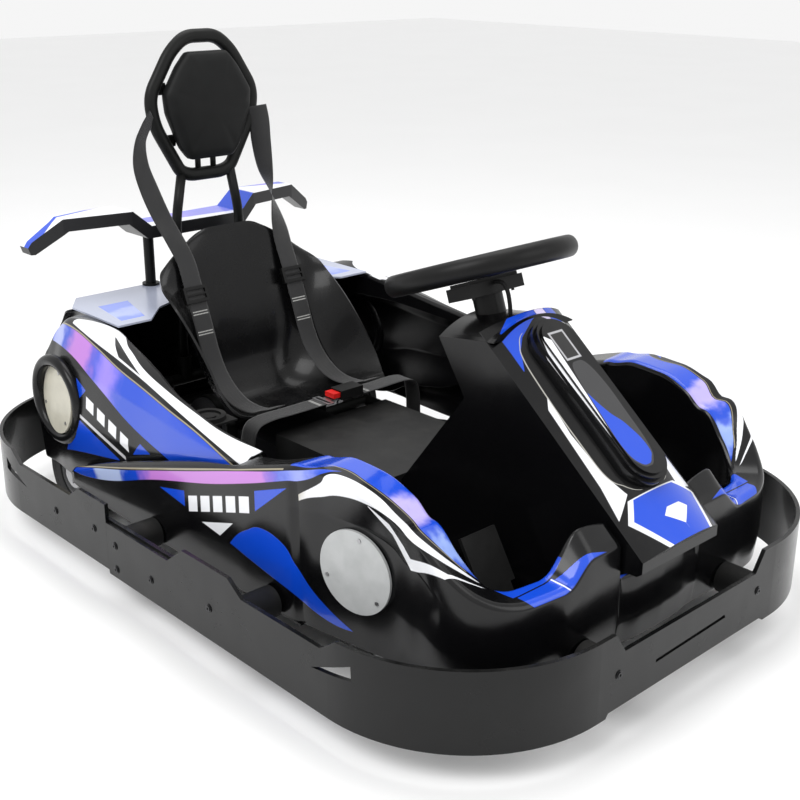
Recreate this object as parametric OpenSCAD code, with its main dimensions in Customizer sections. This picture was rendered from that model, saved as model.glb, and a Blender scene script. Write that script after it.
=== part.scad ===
// Electric foot-pedal kart with a wrap-round bumper, a bucket seat and a rear wing.
// X points to the nose, Y to the driver's left and Z up. The origin is on the floor,
// under the middle of the bumper ring.

/* [Overall] */
// Length over the bumper
kart_l = 1616; // [1350:1:1950]
// Width over the bumper
kart_w = 1100; // [1000:1:1320]
// Distance from the front of the bumper to the front axle
front_overhang = 362; // [340:1:400]
// Distance from the back of the bumper to the rear axle
rear_overhang = 276; // [250:1:330]

/* [Bumper] */
// Corner radius of the bumper ring
bumper_r = 300; // [200:1:340]
// Thickness of the bumper strip
bumper_t = 8; // [5:0.5:12]
// Height of the bumper's lower edge above the floor
bumper_z = 58; // [40:1:80]
// Height of the low stretches of the strip
bumper_h_low = 108; // [90:1:130]
// Height of the raised stretches of the strip
bumper_h_high = 146; // [132:1:180]
// Length of the stretch where the two halves overlap
bumper_lap = 246; // [150:1:320]
// Diameter of the rubber buffers
buffer_d = 58; // [40:1:64]
// Diameter of the button head screws in the strip
screw_head_d = 16; // [10:0.5:20]

/* [Body] */
// Gap between the bumper and the body at the sides
side_gap = 82; // [60:1:120]
// Gap between the bumper and the body at the front
front_gap = 65; // [50:1:100]
// Gap between the bumper and the body at the back
rear_gap = 126; // [90:1:160]
// Wall of the moulded shells
shell_t = 4; // [3:0.5:6]
// Height of the floor pan's top above the floor
pan_z = 106; // [100:1:120]
// Thickness of the floor pan
pan_t = 3; // [2:0.5:5]
// Radius of the round lens discs
lens_r = 74; // [50:1:84]
// Thickness of the lens discs
lens_t = 5; // [3:0.5:8]

/* [Nose] */
// Width of the nose
nose_w = 212; // [180:1:240]
// Rise of the nose's crown above its edges
crown_h = 28; // [15:1:40]
// Length of the raised capsule
capsule_l = 350; // [250:1:380]
// Width of the raised capsule
capsule_w = 104; // [80:1:120]
// Height of the capsule above the crown
capsule_h = 24; // [10:1:34]

/* [Seat] */
// Width of the seat over its wings
seat_w = 430; // [360:1:470]
// Wall of the seat shell
seat_t = 5; // [3:0.5:8]
// Length of the cover plate in front of the seat
cover_l = 330; // [260:1:340]
// Width of the cover plate
cover_w = 310; // [240:1:340]
// Height of the cover plate's top
cover_z = 250; // [230:1:262]

/* [Headrest and wing] */
// Height of the headrest's top above the floor
head_top = 1030; // [980:1:1100]
// Diameter of the headrest tube
head_tube_d = 26; // [18:1:32]
// Thickness of the headrest pad
head_pad_t = 36; // [20:1:50]
// Width of the wing over its tips
wing_w = 780; // [600:1:860]
// Thickness of the wing
wing_t = 28; // [18:1:36]
// Diameter of the wing's posts
wing_post_d = 24; // [16:1:30]

/* [Steering] */
// Tilt of the steering column back from upright
column_tilt = 20; // [15:1:25]
// Radius of the wheel rim's centre line
rim_r = 162; // [140:1:180]
// Diameter of the wheel rim's tube
rim_d = 32; // [24:1:38]
// Diameter of the steering shaft
shaft_d = 18; // [14:0.5:22]
// Outer diameter of the column sleeve
sleeve_d = 56; // [44:1:64]
// Diameter of the steering cable
cable_d = 8; // [5:0.5:10]

/* [Wheels] */
// Diameter of the front tyres
front_tyre_d = 180; // [150:1:200]
// Width of the front tyres
front_tyre_w = 50; // [36:1:60]
// Diameter of the rear tyres
rear_tyre_d = 200; // [160:1:220]
// Width of the rear tyres
rear_tyre_w = 80; // [60:1:90]
// Diameter of the rear axle
axle_d = 25; // [20:0.5:30]
// Diameter of the stub axles
stub_d = 15; // [12:0.5:20]
// Diameter of the kingpins
kingpin_d = 12; // [8:0.5:14]
// Radial clearance of a running fit
run_c = 0.05; // [0.02:0.01:0.1]

/* [Drive] */
// Module of the gear teeth
gear_m = 2.5; // [2:0.25:3]
// Teeth of the gear on the axle
axle_teeth = 48; // [40:4:60]
// Teeth of the motor pinion
pinion_teeth = 12; // [10:1:16]
// Width of the gears
gear_w = 18; // [12:1:24]
// Diameter of the drive motor
motor_d = 112; // [90:1:120]
// Length of the drive motor
motor_l = 150; // [120:1:170]
// Diameter of the brake disc
disc_d = 150; // [120:1:160]

/* [Frame] */
// Diameter of the chassis tubes
tube_d = 28; // [22:1:32]
// Distance of the main rails from the middle
rail_y = 135; // [120:1:150]

/* [Harness] */
// Width of the harness webbing
web_w = 48; // [38:1:50]
// Thickness of the harness webbing
web_t = 3; // [2:0.5:4]

/* [Hidden] */

// Facets of a true circle, and of a circle inside a hull
round_fn = 64;
eps = 0.01;

// Datum lines
front_x = kart_l / 2;
side_y = kart_w / 2;
front_axle_x = front_x - front_overhang;
rear_axle_x = -front_x + rear_overhang;
mid_x = (front_axle_x + rear_axle_x) / 2;
body_half = side_y - bumper_t - side_gap;
body_front_x = front_x - bumper_t - front_gap;
body_rear_x = -front_x + bumper_t + rear_gap;
front_axle_z = front_tyre_d / 2;
rear_axle_z = rear_tyre_d / 2;
tube_z = pan_z + tube_d / 2 + 1;
nose_half = nose_w / 2;

// ---------------------------------------------------------------- helpers

// A closed solid from sections with the same number of points, capped at both ends
module loft(sections) {
    m = len(sections[0]);
    n = len(sections);
    points = [for (s = sections) for (p = s) p];
    sides = [for (k = [0:n - 2]) for (j = [0:m - 1])
        let (a = k * m + j, b = k * m + (j + 1) % m)
        each [[a, b, b + m], [a, b + m, a + m]]];
    first_cap = [for (j = [m - 1:-1:0]) j];
    last_cap = [for (j = [0:m - 1]) (n - 1) * m + j];
    polyhedron(points, concat(sides, [first_cap, last_cap]), convexity = 8);
}

// A sheet between two grids of points, closed round its four edges
module sheet(front, back) {
    n = len(front);
    m = len(front[0]);
    points = concat([for (r = front) for (p = r) p], [for (r = back) for (p = r) p]);
    o = n * m;
    skin = [for (i = [0:n - 2]) for (j = [0:m - 2])
        let (a = i * m + j, b = a + 1, c = a + m + 1, d = a + m)
        each [[a, b, c], [a, c, d], [a + o, c + o, b + o], [a + o, d + o, c + o]]];
    ends = [for (j = [0:m - 2]) for (i = [0, n - 1])
        let (a = i * m + j, b = a + 1)
        each i == 0 ? [[a, a + o, b + o], [a, b + o, b]] : [[a, b + o, a + o], [a, b, b + o]]];
    rims = [for (i = [0:n - 2]) for (j = [0, m - 1])
        let (a = i * m + j, b = a + m)
        each j == 0 ? [[a, b + o, a + o], [a, b, b + o]] : [[a, a + o, b + o], [a, b + o, b]]];
    polyhedron(points, concat(skin, ends, rims), convexity = 8);
}

// A plate drawn by its outline in X and Z, with its width along Y, centred on y
module side_plate(outline, w, y = 0)
    translate([0, y + w / 2, 0]) rotate([90, 0, 0]) linear_extrude(w) polygon(outline);

// A plate drawn by its outline in Y and Z, from x to x + w
module front_plate(outline, x, w)
    translate([x, 0, 0]) rotate([90, 0, 90]) linear_extrude(w) polygon(outline);

// A round bar between two points
module bar(a, b, d) {
    v = b - a;
    translate(a) rotate([0, acos(v[2] / norm(v)), atan2(v[1], v[0])])
        cylinder(d = d, h = norm(v), $fn = round_fn);
}

// A cylinder along Y, centred on the origin
module across(d, w) rotate([90, 0, 0]) cylinder(d = d, h = w, center = true, $fn = round_fn);

module both_sides() {
    children();
    mirror([0, 1, 0]) children();
}

// Children in the steering column's own frame: Z along the column, zero at the rim's plane
wheel_at = [front_axle_x - 148, 0, 660];
module on_column() translate(wheel_at) rotate([0, -column_tilt, 0]) children();

// An outline in X and Y, or Y and Z, closed by its mirror image across Y = 0
function mirrored(p) = concat(p, [for (k = [len(p) - 1:-1:0]) [p[k][0], -p[k][1]]]);
function mirrored_first(p) = concat(p, [for (k = [len(p) - 1:-1:0]) [-p[k][0], p[k][1]]]);

// The outline moved inwards by t, for the inner face of a wall; the outline runs anticlockwise
function inset(p, t) = [for (i = [0:len(p) - 1])
    let (n = len(p), a = p[(i + n - 1) % n], b = p[i], c = p[(i + 1) % n],
         u = (b - a) / norm(b - a), v = (c - b) / norm(c - b),
         nu = [-u[1], u[0]], nv = [-v[1], v[0]])
    b + t * (nu + nv) / (1 + nu * nv)];

// ---------------------------------------------------------------- body shells

// One wall of a shell in its own plane: how far in from the outline, and how high.
// Station: [x, y, turn, top inset, inner inset, bottom, outer top, inner top, inner bottom, side inset]
function wall_points(s) =
    let (a = s[3], w = s[4], zb = s[5], zo = s[6], zi = s[7], zib = s[8], h = zo - zb, t = shell_t,
         b = len(s) > 9 ? s[9] : 0, c = b > 0 ? b : 0.35 * a)
    [[b + 6, zb], [b, zb + 0.35 * h], [c, zb + 0.73 * h], [a, zo - 8], [a + 8, zo], [w - 8, zi], [w, zi - 8],
     [w, zib], [w - t, zib], [w - t, zi - 11], [w - 10, zi - t], [a + 10, zo - t], [a + t, zo - 11],
     [c + t, zb + 0.71 * h], [b + t, zb + 0.35 * h], [b + 6 + t, zb]];
function wall_section(s, side) = [for (p = wall_points(s))
    [s[0] - p[0] * sin(s[2]), side * (s[1] - p[0] * cos(s[2])), p[1]]];
function u_loft(stations) = concat(
    [for (s = stations) wall_section(s, -1)],
    [for (i = [len(stations) - 2:-1:0]) wall_section(stations[i], 1)]);

// Half width of the shells' outline
hb = body_half;
fa = front_axle_x;
ra = rear_axle_x;
liner_top = pan_z + 100;
liner_l = 248;
seam_x = fa - 290;
lip_w = 22;
front_stations = [
    [ra + 92, hb - 1, 0, 0, lip_w, 120, 160, 160, 140],
    [ra + 220, hb - 1, 0, 0, lip_w, 110, 210, 210, 188],
    [mid_x - 40, hb, 0, 0, lip_w, 106, 286, 286, 262],
    [mid_x + 100, hb, 0, 0, lip_w, 106, 328, 328, 304],
    [seam_x - 4, hb, 0, 0, lip_w, 106, 351, 352, 328],
    [seam_x, hb, 0, 0, 56, 106, 352, 358, 320],
    [fa - 216, hb - 2, 0, 0, 62, 106, 378, 374, 330],
    [fa - liner_l / 2 - 22, hb - 4, 0, 0, 80, 106, 400, 396, pan_z],
    [fa - liner_l / 2 - 1, hb - 5, 0, 1, 83, 106, 405, 403, pan_z, 5],
    [fa - liner_l / 2, hb - 5, 0, 1, 83, 106, 405, 403, liner_top, 5],
    [fa - 62, hb - 5, 0, 3, 86, 106, 416, 417, liner_top, 13],
    [fa + 4, hb - 5, 0, 4, 88, 106, 415, 414, liner_top, 23],
    [fa + 74, hb - 8, 4, 4, 88, 106, 400, 393, liner_top, 31],
    [fa + liner_l / 2, hb - 14, 10, 4, 84, 106, 374, 366, liner_top, 24],
    [fa + liner_l / 2 + 1, hb - 14, 10, 4, 84, 106, 374, 366, pan_z, 24],
    [fa + 186, hb - 30, 20, 4, 78, 106, 326, 320, pan_z, 8],
    [body_front_x - 58, hb - 58, 38, 3, 72, 106, 288, 286, pan_z],
    [body_front_x - 28, hb - 96, 60, 2, 66, 106, 270, 268, pan_z],
    [body_front_x - 12, hb - 140, 78, 2, 60, 106, 264, 264, pan_z],
    [body_front_x - 5, hb - 200, 86, 2, 58, 106, 264, 264, pan_z],
    [body_front_x - 2, hb - 224, 90, 2, 56, 106, 266, 272, pan_z],
    [body_front_x, hb - 280, 90, 4, 50, 106, 304, 336, pan_z],
    [body_front_x, nose_half + 8, 90, 4, 48, 106, 304, 326, pan_z],
    [body_front_x, nose_half + 4, 90, 4, 48, 106, 240, 240, pan_z],
    [body_front_x + 6, nose_half - 50, 90, 4, 48, 106, 240, 240, pan_z],
    [body_front_x + 8, 0, 90, 4, 48, 106, 240, 240, pan_z]];

inner_y = hb - lip_w - 2;
rear_stations = [
    [seam_x - 4.5, inner_y, 0, 8, 50, 318, 358, 362, 336],
    [mid_x + 60, inner_y, 0, 6, 40, 290, 366, 378, 350],
    [mid_x - 40, inner_y, 0, 10, 42, 250, 386, 398, 370],
    [mid_x - 170, inner_y, 0, 30, 66, 190, 418, 424, 390],
    [ra + 190, inner_y, 0, 36, 86, 160, 442, 446, 400],
    [ra + 130, inner_y, 0, 38, 94, 130, 456, 455, 400],
    [ra + 60, inner_y - 1, 0, 40, 99, 116, 464, 455, 400],
    [ra, inner_y - 7, -3, 38, 98, 116, 458, 455, 400],
    [ra - 62, inner_y - 14, -8, 34, 96, 116, 424, 452, 400],
    [ra - 104, inner_y - 14, -26, 26, 88, 116, 372, 450, 400],
    [body_rear_x + 14, hb - 60, -52, 20, 82, 116, 350, 450, 400],
    [body_rear_x, hb - 112, -80, 12, 66, 116, 370, 450, 400],
    [body_rear_x, 220, -90, 12, 64, 116, 430, 450, 400],
    [body_rear_x, 0, -90, 12, 64, 116, 440, 450, 400]];

module front_shell() color([0.05, 0.05, 0.06]) loft(u_loft(front_stations));
module rear_shell() color([0.12, 0.25, 0.8]) loft(u_loft(rear_stations));

// Deck behind the seat, laid on the rear shell's inner rim
deck_z = 455.6;
deck_y = hb - 116;
module rear_deck() color([0.75, 0.78, 0.85]) difference() {
    translate([0, 0, deck_z]) linear_extrude(shell_t) polygon(mirrored([
        [body_rear_x + 20, 300], [ra - 60, deck_y], [ra + 130, deck_y], [ra + 130, deck_y - 80],
        [ra + 62, 200], [ra + 26, 120]]));
    both_sides() translate([head_x, head_post_y, 0]) cylinder(d = 40, h = 600, $fn = round_fn);
}

// Floor pan, with room for the front wheels and a hole for the steering shaft
module floor_pan() color([0.12, 0.12, 0.13]) difference() {
    union() {
        translate([0, 0, pan_z - pan_t]) linear_extrude(pan_t) polygon(mirrored([
            [ra + 112, hb - 150], [mid_x - 130, hb - 10], [fa - liner_l / 2 - 4, hb - 10],
            [fa - liner_l / 2 - 4, liner_y], [fa + liner_l / 2 + 4, liner_y], [fa + liner_l / 2 + 4, hb - 30],
            [fa + 186, hb - 44], [body_front_x - 58, hb - 70], [body_front_x - 24, hb - 130],
            [body_front_x - 10, hb - 200]]));
        both_sides() for (y = [-39, 33]) translate([pedal_x - 12, pedal_y + y, pan_z - 1])
            cube([24, 6, pedal_z - pan_z + 12]);
    }
    translate([pan_hole_x, 0, 0]) cylinder(d = 64, h = 400, $fn = round_fn);
    both_sides() translate([pedal_x, pedal_y, pedal_z]) across(pedal_pin_d, 200);
}

// Boxes over the front wheels, open below and outwards
liner_y = 252;
module wheel_liners() color([0.06, 0.06, 0.07]) both_sides() difference() {
    translate([fa - liner_l / 2 + 0.3, liner_y - 2, pan_z])
        cube([liner_l - 0.6, hb - 100 - liner_y + 2, liner_top - pan_z]);
    translate([fa - liner_l / 2 + shell_t, liner_y + 1, pan_z - 1])
        cube([liner_l - 2 * shell_t, hb, liner_top - pan_z - 2]);
    translate([fa, liner_y, tube_z]) across(cross_d + 1, 20);
}

// ---------------------------------------------------------------- nose

nose_tip_x = front_x - 37;
slope_top = [fa - 31, 566];
slope_foot = [nose_tip_x, 276];
slope_l = norm(slope_foot - slope_top);
slope_a = atan2(slope_top[1] - slope_foot[1], slope_foot[0] - slope_top[0]);
nose_outline = [
    [fa - 241, pan_z], [body_front_x - 51, pan_z], [body_front_x - 51, 245], [nose_tip_x - 10, 248],
    [nose_tip_x, 256], slope_foot, slope_top, [fa - 146, 550], [fa - 80, 450], [fa - 241, 240]];
// Tunnel behind the nose that the steering column runs in
tunnel_w = 84;
tunnel_outline = [[fa - 126, 390], [fa, 390], [fa, 540], [fa - 146, 550], [fa - 112, 450]];
crown_half = nose_half - 1;
crown_r = (crown_half * crown_half + crown_h * crown_h) / (2 * crown_h);

// A slice of a round crown over the nose's width, drop mm inside its outer face, in flat strips
crown_strips = 24;
crown_arc = asin(crown_half / crown_r);
module crown_face(drop) polygon(concat(
    [[crown_half - drop, -drop - 2], [-(crown_half - drop), -drop - 2]],
    [for (k = [0:crown_strips]) let (q = crown_arc * (2 * k / crown_strips - 1), r = crown_r - drop)
        [r * sin(q), crown_h - crown_r + r * cos(q)]]));
module on_slope() translate([slope_top[0], 0, slope_top[1]]) rotate([0, slope_a, 0]) children();
module crown(drop) {
    on_slope() translate([drop - 22, 0, 0]) rotate([90, 0, 90]) linear_extrude(slope_l + 22 - 2 * drop)
        crown_face(drop);
    translate([fa - 146 + drop, 0, 550]) rotate([0, -8, 0]) rotate([90, 0, 90])
        linear_extrude(133 - 2 * drop) crown_face(drop);
}
module stadium(l, w, h, z = 0) translate([0, 0, z]) linear_extrude(h) {
    square([l - w, w], center = true);
    for (e = [-1, 1]) translate([e * (l - w) / 2, 0]) circle(d = w, $fn = round_fn);
}
capsule_x = 8 + capsule_l / 2;
capsule_sink = 8;

module nose_cowl() color([0.05, 0.05, 0.06]) difference() {
    union() {
        side_plate(nose_outline, nose_w);
        side_plate(tunnel_outline, tunnel_w);
        crown(0);
    }
    side_plate(inset(nose_outline, shell_t), nose_w - 2 * shell_t);
    side_plate(inset(tunnel_outline, shell_t), tunnel_w - 2 * shell_t);
    crown(shell_t);
    translate([fa - 241 + shell_t, shell_t - nose_half, pan_z - 1])
        cube([body_front_x - fa + 190 - 2 * shell_t, nose_w - 2 * shell_t, shell_t + 2]);
    on_slope() translate([capsule_x, 0, crown_h - capsule_sink - 0.3])
        stadium(capsule_l + 1, capsule_w + 1, 60);
    on_column() translate([0, 0, -200]) cylinder(d = sleeve_d + 1, h = 200, $fn = round_fn);
    translate([cable_route[4][0], cable_route[4][1], 540]) cylinder(d = cable_d + 2, h = 80, $fn = round_fn);
    for (x = cross_x) translate([x - tube_d / 2 - 2, -nose_half - 1, pan_z - 1])
        cube([tube_d + 4, nose_w + 2, tube_d + 3]);
}

// Raised capsule on the nose, stepped in towards its top
module nose_capsule() color([0.06, 0.06, 0.07]) on_slope() translate([capsule_x, 0, crown_h - capsule_sink]) {
    stadium(capsule_l, capsule_w, capsule_sink + capsule_h * 0.5);
    stadium(capsule_l - 10, capsule_w - 10, capsule_h * 0.3, capsule_sink + capsule_h * 0.5);
    stadium(capsule_l - 24, capsule_w - 24, capsule_h * 0.2, capsule_sink + capsule_h * 0.8);
}

// ---------------------------------------------------------------- bumper

bumper_top = bumper_z + bumper_h_high;
bumper_low = bumper_z + bumper_h_low;
lap_x0 = -bumper_lap * 0.6;
lap_x1 = lap_x0 + bumper_lap;
corner_x = front_x - bumper_r;
corner_y = side_y - bumper_r;

module ring_outline(d) for (m = [0, 1]) mirror([0, m]) {
    translate([-corner_x, 0]) square([2 * corner_x, side_y - d]);
    translate([-front_x + d, 0]) square([kart_l - 2 * d, corner_y]);
    for (e = [-1, 1]) translate([e * corner_x, corner_y]) circle(r = bumper_r - d, $fn = 120);
}
module ring(d0, d1, z, h) translate([0, 0, z]) linear_extrude(h) difference() {
    ring_outline(d0);
    ring_outline(d1);
}
// Everything from x0 to x1 over the full width
module span(x0, x1) translate([x0, -side_y - 1, 0]) cube([x1 - x0, kart_w + 2, 400]);

// A cut through the corner of the ring, drawn along the tangent at the angle
module corner_cut(angle, outline) for (s = [-1, 1])
    translate([corner_x, s * corner_y, 0]) rotate([0, 0, s * (angle - 90)]) rotate([90, 0, 90])
        linear_extrude(bumper_r + 20) mirror([s < 0 ? 1 : 0, 0]) polygon(outline);

// Steps of the edges and the slots of the half that points to +X
module strip_cuts() {
    side_plate([[lap_x0 - 400, bumper_low], [lap_x0 + 210, bumper_low], [lap_x0 + 260, bumper_top + 1],
        [lap_x0 - 400, bumper_top + 1]], kart_w + 2);
    side_plate([[corner_x - 262, bumper_top + 1], [corner_x - 223, bumper_low + 12],
        [corner_x - 17, bumper_low + 12], [corner_x + 20, bumper_top + 1]], kart_w + 2);
    front_plate([[-214, bumper_top + 1], [-188, bumper_low], [188, bumper_low], [214, bumper_top + 1]],
        front_x - 60, 80);
    front_plate([[-229, bumper_z - 1], [-223, bumper_z + 8], [223, bumper_z + 8], [229, bumper_z - 1]],
        front_x - 60, 80);
    front_plate([[-101, 108], [101, 113], [96, 120], [88, 119], [-101, 114]], front_x - 60, 80);
    side_plate([[corner_x - 40, 134], [corner_x + 52, 148], [corner_x + 51, 174]], kart_w + 2);
    corner_cut(52, [[-80, bumper_top + 1], [-68, bumper_low + 24],
        [72, bumper_low + 24], [86, bumper_top + 1]]);
    corner_cut(38, [[-52, 97], [52, 120], [-52, 123]]);
}

module bumper_front() color([0.08, 0.08, 0.09]) difference() {
    ring(0, bumper_t, bumper_z, bumper_top - bumper_z);
    span(-front_x - 1, lap_x0);
    strip_cuts();
    screw_holes(front_screws);
}
module bumper_rear() color([0.08, 0.08, 0.09]) difference() {
    union() {
        difference() {
            ring(0, bumper_t, bumper_z + 8, bumper_top - bumper_z - 8);
            span(lap_x0 - 0.3, front_x + 1);
            mirror([1, 0, 0]) strip_cuts();
        }
        difference() {
            ring(bumper_t, 2 * bumper_t, bumper_z + 8, bumper_low - bumper_z - 4);
            span(-front_x - 1, lap_x0 - 20);
            span(lap_x1, front_x + 1);
        }
    }
    screw_holes(rear_screws);
    screw_holes(front_screws);
}

// Screws: [x along the side, z] on both sides, and [y, z] on the front and back
screw_d = 8;
front_screws = [[lap_x0 + 28, 127], [lap_x0 + 28, 77], [lap_x0 + 150, 103], [corner_x - 319, 122]];
rear_screws = [[lap_x0 - 48, 137], [-corner_x + 160, 122]];
end_screws = [[201, 128]];
module at_side_screws(list) both_sides() for (p = list)
    translate([p[0], -side_y, p[1]]) rotate([-90, 0, 0]) children();
module at_end_screws() both_sides() for (e = [0, 1]) mirror([e, 0, 0]) for (p = end_screws)
    translate([front_x, p[0], p[1]]) rotate([0, -90, 0]) children();
module screw_holes(list) {
    at_side_screws(list) translate([0, 0, -1]) cylinder(d = screw_d + 0.6, h = 3 * bumper_t, $fn = round_fn);
    at_end_screws() translate([0, 0, -1]) cylinder(d = screw_d + 0.6, h = 3 * bumper_t, $fn = round_fn);
}
// Button head with a hexagon socket, its head outside the face at z = 0 and its shank inwards
module button_screw(l) difference() {
    union() {
        translate([0, 0, -3]) cylinder(d = screw_head_d * 0.7, h = 1.5 + eps, $fn = round_fn);
        translate([0, 0, -1.5]) cylinder(d = screw_head_d, h = 1.5, $fn = round_fn);
        cylinder(d = screw_d, h = l, $fn = round_fn);
    }
    translate([0, 0, -4]) cylinder(d = 5, h = 3, $fn = 6);
}
// Rubber buffers between the ring and the body: [x, side reach of the ring]
buffer_z = 128;
side_buffers = [[lap_x0 + 28, side_y - 2 * bumper_t], [corner_x - 258, side_y - bumper_t]];
module buffer(l) difference() {
    cylinder(d = buffer_d, h = l, $fn = round_fn);
    translate([0, 0, -1]) cylinder(d = screw_d + 0.6, h = l / 2, $fn = round_fn);
}
module bumper_screws() color([0.1, 0.1, 0.1]) {
    at_side_screws(concat(front_screws, rear_screws)) button_screw(2 * bumper_t + 6);
    at_end_screws() button_screw(2 * bumper_t + 6);
}
module bumper_buffers() color([0.03, 0.03, 0.03]) both_sides() {
    for (b = side_buffers) translate([b[0], -b[1], buffer_z]) rotate([-90, 0, 0]) difference() {
        cylinder(d = buffer_d, h = b[1] - hb + 0.5, $fn = round_fn);
        for (p = concat(front_screws, rear_screws)) translate([p[0] - b[0], -(p[1] - buffer_z), -1])
            cylinder(d = screw_d + 0.6, h = 2 * bumper_t + 8, $fn = round_fn);
    }
    translate([front_x - bumper_t, end_screws[0][0], buffer_z]) rotate([0, -90, 0]) buffer(front_gap - 0.3);
    translate([-front_x + bumper_t, end_screws[0][0], buffer_z]) rotate([0, 90, 0]) buffer(rear_gap - 0.3);
}

// ---------------------------------------------------------------- lenses and their screws

// [x, z, distance from the middle, turn to the front, tilt up]
lens_front_at = [fa, 252, hb - 26.6, 8.6, 0];
lens_rear_at = [ra, 283, hb - 34.2, -6.4, 5];
// Places the children on the body's right side, their Z outwards
module on_side(at) translate([at[0], -at[2], at[1]]) rotate([90 - at[4], 0, at[3]]) children();
module lens_plate() difference() {
    cylinder(r = lens_r, h = lens_t, $fn = 120);
    for (q = [80, 200, 320]) rotate([0, 0, q]) translate([lens_r - 12, 0, -1])
        cylinder(d = 4, h = lens_t + 2, $fn = round_fn);
}
module lens_screw_set() for (q = [80, 200, 320]) rotate([0, 0, q]) translate([lens_r - 12, 0, 0]) {
    cylinder(d = 3.8, h = lens_t + eps, $fn = round_fn);
    translate([0, 0, lens_t]) cylinder(d = 7, h = 2, $fn = round_fn);
}
module front_lens() on_side(lens_front_at) lens_plate();
module rear_lens() on_side(lens_rear_at) lens_plate();
module lens_front_right() color([0.75, 0.75, 0.76]) front_lens();
module lens_front_left() color([0.75, 0.75, 0.76]) mirror([0, 1, 0]) front_lens();
module lens_rear_right() color([0.85, 0.83, 0.76]) rear_lens();
module lens_rear_left() color([0.85, 0.83, 0.76]) mirror([0, 1, 0]) rear_lens();
module lens_screws() color([0.6, 0.6, 0.6]) both_sides() {
    on_side(lens_front_at) lens_screw_set();
    on_side(lens_rear_at) lens_screw_set();
}

// ---------------------------------------------------------------- seat and what lies under it

// Rows from the front lip to the top of the back: [middle x, middle z, edge x, edge z, half width]
seat_half = seat_w / 2;
seat_rows = [
    [-130, 290, -135, 290, 0.70], [-170, 278, -160, 285, 0.86], [-230, 245, -190, 290, 0.95],
    [-300, 228, -225, 325, 1], [-360, 232, -262, 370, 1], [-400, 262, -298, 408, 1], [-420, 310, -330, 438, 1],
    [-430, 370, -362, 464, 1], [-440, 430, -394, 487, 1], [-455, 500, -425, 506, 1],
    [-468, 560, -455, 522, 0.95], [-478, 598, -478, 535, 0.86], [-486, 612, -492, 545, 0.70]];
seat_columns = 18;
// Share of the way from the middle's height to the edge's, at v from 0 to 1 across
function dish(v) = v < 0.3 ? 0 : pow((v - 0.3) / 0.7, 2);
function seat_point(r, v) = [
    r[0] + (r[2] - r[0]) * dish(abs(v)), v * r[4] * seat_half, r[1] + (r[3] - r[1]) * dish(abs(v))];
seat_front = [for (r = seat_rows) [for (j = [0:seat_columns]) seat_point(r, 2 * j / seat_columns - 1)]];
function unit(v) = v / norm(v);
// Each point of a grid moved by t along the surface's normal
function offset_grid(g, t) = let (n = len(g), m = len(g[0])) [for (i = [0:n - 1]) [for (j = [0:m - 1])
    let (du = g[min(i + 1, n - 1)][j] - g[max(i - 1, 0)][j], dv = g[i][min(j + 1, m - 1)] - g[i][max(j - 1, 0)])
    g[i][j] + t * unit(cross(du, dv))]];
module seat_shell() color([0.06, 0.06, 0.07]) sheet(seat_front, offset_grid(seat_front, seat_t));

cover_x1 = fa - 241.5;
cover_x0 = cover_x1 - cover_l;
module battery_cover() color([0.22, 0.22, 0.23]) difference() {
    translate([cover_x0, -cover_w / 2, pan_z]) cube([cover_l, cover_w, cover_z - pan_z]);
    translate([cover_x0 + shell_t, shell_t - cover_w / 2, pan_z - 1])
        cube([cover_l - 2 * shell_t, cover_w - 2 * shell_t, cover_z - pan_z + 1 - shell_t]);
    both_sides() translate([cover_x0 - 1, rail_y - tube_d / 2 - 1, pan_z - 1])
        cube([cover_l + 2, tube_d + 2, tube_d + 3]);
}

battery_size = [210, 218, 84];
battery_x = -385;
module battery_pack() color([0.1, 0.12, 0.14]) translate([battery_x, -battery_size[1] / 2, pan_z]) {
    cube(battery_size);
    for (y = [50, 160]) translate([battery_size[0] - 40, y, battery_size[2]])
        cylinder(d = 16, h = 10, $fn = round_fn);
}

module motor_controller() color([0.5, 0.5, 0.52]) translate([-80, -80, pan_z]) {
    cube([150, 160, 40]);
    for (k = [0:7]) translate([6 + k * 19, 4, 40]) cube([5, 152, 22]);
}

// ---------------------------------------------------------------- headrest

head_x = ra - 28;
head_post_y = 86;
head_post_d = 22;
head_foot_z = 240;
head_points = [[40, head_top - 13], [80, head_top - 45], [137, head_top - 135], [128, head_top - 197],
    [68, head_top - 302], [42, head_top - 312]];
neck = [head_points[4][0] - 2, head_points[4][1] - 4];
shoulder = [head_post_y, neck[1] - 104];
module headrest_frame() color([0.09, 0.09, 0.1]) {
    both_sides() {
        for (k = [0:4]) bar([head_x, head_points[k][0], head_points[k][1]],
            [head_x, head_points[k + 1][0], head_points[k + 1][1]], head_tube_d);
        for (k = [1:4]) translate([head_x, head_points[k][0], head_points[k][1]])
            sphere(d = head_tube_d + 1, $fn = round_fn);
        bar([head_x, neck[0], neck[1]], [head_x, shoulder[0], shoulder[1]], head_post_d);
        translate([head_x, shoulder[0], shoulder[1]]) sphere(d = head_post_d + 1, $fn = round_fn);
        bar([head_x, head_post_y, head_foot_z], [head_x, shoulder[0], shoulder[1]], head_post_d);
        for (p = head_tabs) translate([head_x - 4, p[0], p[1] - 13]) cube([8, 34, 26]);
        translate([head_x - 4, 13, head_points[5][1]]) cube([8, 15, 62]);
    }
    for (k = [0, 5]) translate([head_x, 0, head_points[k][1]]) across(head_tube_d, 2 * head_points[k][0]);
    both_sides() for (k = [0, 5]) translate([head_x, head_points[k][0], head_points[k][1]])
        sphere(d = head_tube_d + 1, $fn = round_fn);
}
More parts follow.
